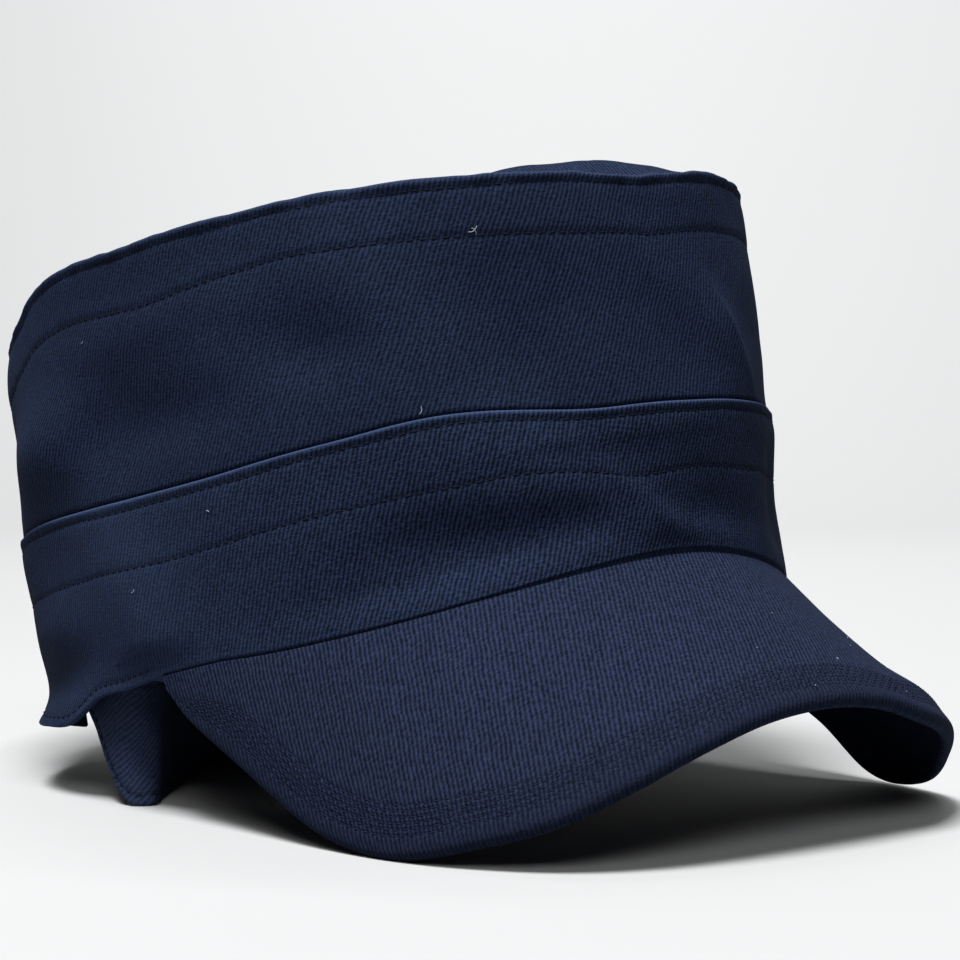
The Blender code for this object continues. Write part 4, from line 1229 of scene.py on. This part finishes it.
def make_lint():
    """A few loose fibres caught on the cloth."""
    #   piece, around, height, length, turn
    places = ((band_point, 181.0, 24.0, 1.6, 0.4), (crown_point, 228.0, 48.4, 2.2, 1.1), (crown_point, 238.0, 87.0, 3.2, 0.3),
              (crown_point, 239.3, 85.6, 2.4, 2.0), (band_point, 197.0, 37.0, 1.2, 2.4), (crown_point, 174.3, 84.5, 1.0, 0.2))
    P, N = [], []
    s = np.linspace(-0.5, 0.5, 7)
    for point, deg, z, long_, way in places:
        bend = way + 1.6 * s
        du, dz = np.cumsum(np.cos(bend)) * long_ / 7, np.cumsum(np.sin(bend)) * long_ / 7
        t = deg + du * 360.0 / AROUND_MM
        h = z + dz
        P.append(to_world(point(t, h)))
        N.append(turn(wall_normals(point, t, h)))
    # short ones on the wearer's left half of the peak
    r = np.random.RandomState(77)
    share = r.uniform(-0.10, 0.78, 22)
    E, inward, _, reach = peak_frame(share)
    base = E + inward * (reach * r.uniform(0.05, 0.72, 22))[:, None]
    for (w0, l0), long_, way in zip(base, r.uniform(0.35, 1.0, 22), r.uniform(0.0, 3.1, 22)):
        bend = way + 1.2 * s
        w = w0 + np.cumsum(np.cos(bend)) * long_ / 7
        l = l0 + np.cumsum(np.sin(bend)) * long_ / 7
        e = 0.2
        n = np.cross(on_bend(w + e, l) - on_bend(w - e, l), on_bend(w, l + e) - on_bend(w, l - e))
        n /= np.linalg.norm(n, axis=-1)[..., None]
        up = on_bend(w, l, 1.0) - on_bend(w, l)
        n = np.where(((n * up).sum(-1) < 0)[..., None], -n, n)
        P.append(to_world(on_bend(w, l, 0.10)))
        N.append(turn(n))
    return threads("lint", np.array(P), np.array(N), radius=0.075, lift=np.full(7, 0.13), fat=np.array([0.5, 0.9, 1.0, 1.0, 1.0, 0.9, 0.5]), sides=5, material=lint_m)


# ==================================================================== stage
def make_stage():
    """Pale floor that curves up into a backdrop behind the cap."""
    nx, ny = 60, 90
    bm = bmesh.new()
    away = Vector((0.686, 0.727, 0.0)).normalized()
    side = Vector((away.y, -away.x, 0.0))
    grid = []
    for j in range(ny + 1):
        s = -1.6 + 5.2 * j / ny
        bend_at, radius = 1.1, 1.0
        if s < bend_at:
            d, h = s, 0.0
        elif s < bend_at + radius * math.pi / 2:
            a = (s - bend_at) / radius
            d, h = bend_at + radius * math.sin(a), radius * (1.0 - math.cos(a))
        else:
            d, h = bend_at + radius, radius + (s - bend_at - radius * math.pi / 2)
        row = []
        for i in range(nx + 1):
            x = -3.0 + 6.0 * i / nx
            row.append(bm.verts.new(away * d + side * x + Vector((0, 0, h))))
        grid.append(row)
    for j in range(ny):
        for i in range(nx):
            bm.faces.new((grid[j][i], grid[j][i + 1], grid[j + 1][i + 1], grid[j + 1][i]))
    mesh = bpy.data.meshes.new("floor")
    bm.to_mesh(mesh)
    bm.free()
    mesh.shade_smooth()
    mesh.materials.append(plain("floor_paper", (0.30, 0.304, 0.306), 0.9))
    o = bpy.data.objects.new("floor", mesh)
    bpy.context.scene.collection.objects.link(o)
    return o


def area_light(name, place, target, size, power, colour=(1.0, 1.0, 1.0)):
    data = bpy.data.lights.new(name, "AREA")
    data.shape = "RECTANGLE"
    data.size, data.size_y = size
    data.energy = power
    data.color = colour
    o = bpy.data.objects.new(name, data)
    o.location = place
    o.rotation_mode = "QUATERNION"
    o.rotation_quaternion = (Vector(target) - Vector(place)).to_track_quat("-Z", "Y")
    bpy.context.scene.collection.objects.link(o)
    return o


def make_light_and_camera():
    scene = bpy.context.scene
    world = bpy.data.worlds.new("studio")
    world.use_nodes = True
    bg = world.node_tree.nodes["Background"]
    bg.inputs[0].default_value = (0.93, 0.96, 1.0, 1.0)
    bg.inputs[1].default_value = 0.01
    scene.world = world
    area_light("overhead", (-0.38, -0.16, 1.2), (0.0, 0.0, 0.03), (0.4, 0.4), 41.0)
    area_light("front_top", (-1.1, -1.2, 1.4), (0.0, 0.0, 0.03), (0.8, 0.8), 18.0)
    area_light("backdrop", (0.5, 0.5, 1.7), (2.3, 1.5, 0.5), (1.2, 1.2), 82.0)
    cam = bpy.data.cameras.new("photo_angle")
    cam.sensor_width = 36.0
    cam.lens = 98.79
    cam.clip_start, cam.clip_end = 0.05, 20.0
    o = bpy.data.objects.new("photo_angle", cam)
    o.location = Vector((-437.90, -474.09, 100.09)) * MM
    right, up = Vector((0.72721, -0.68642, 0.0)), Vector((0.02649, 0.02806, 0.99926))
    back = -Vector((0.68591, 0.72666, -0.03859))
    rot = Matrix((right, up, back)).transposed()
    o.rotation_mode = "QUATERNION"
    o.rotation_quaternion = rot.to_quaternion()
    scene.collection.objects.link(o)
    scene.camera = o
    scene.view_settings.view_transform = "Standard"
    scene.view_settings.look = "None"
    scene.view_settings.exposure = 0.0


# ==================================================================== build
crown = make_crown()
band = make_band()
top = make_top()
peak = make_peak()
strap = make_strap()
stitches = make_stitches()
lint = make_lint()
for piece, node, slot in ((crown, "crown_wall", "fabric_crown"), (band, "band", "fabric_band"),
                          (top, "top_panel", "fabric_crown"), (peak, "peak", "fabric_peak"),
                          (strap, "back_strap", "fabric_strap")):
    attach(piece, "root")
    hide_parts(node)
for piece in stitches + [lint]:
    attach(piece, "root")

make_stage()
make_light_and_camera()
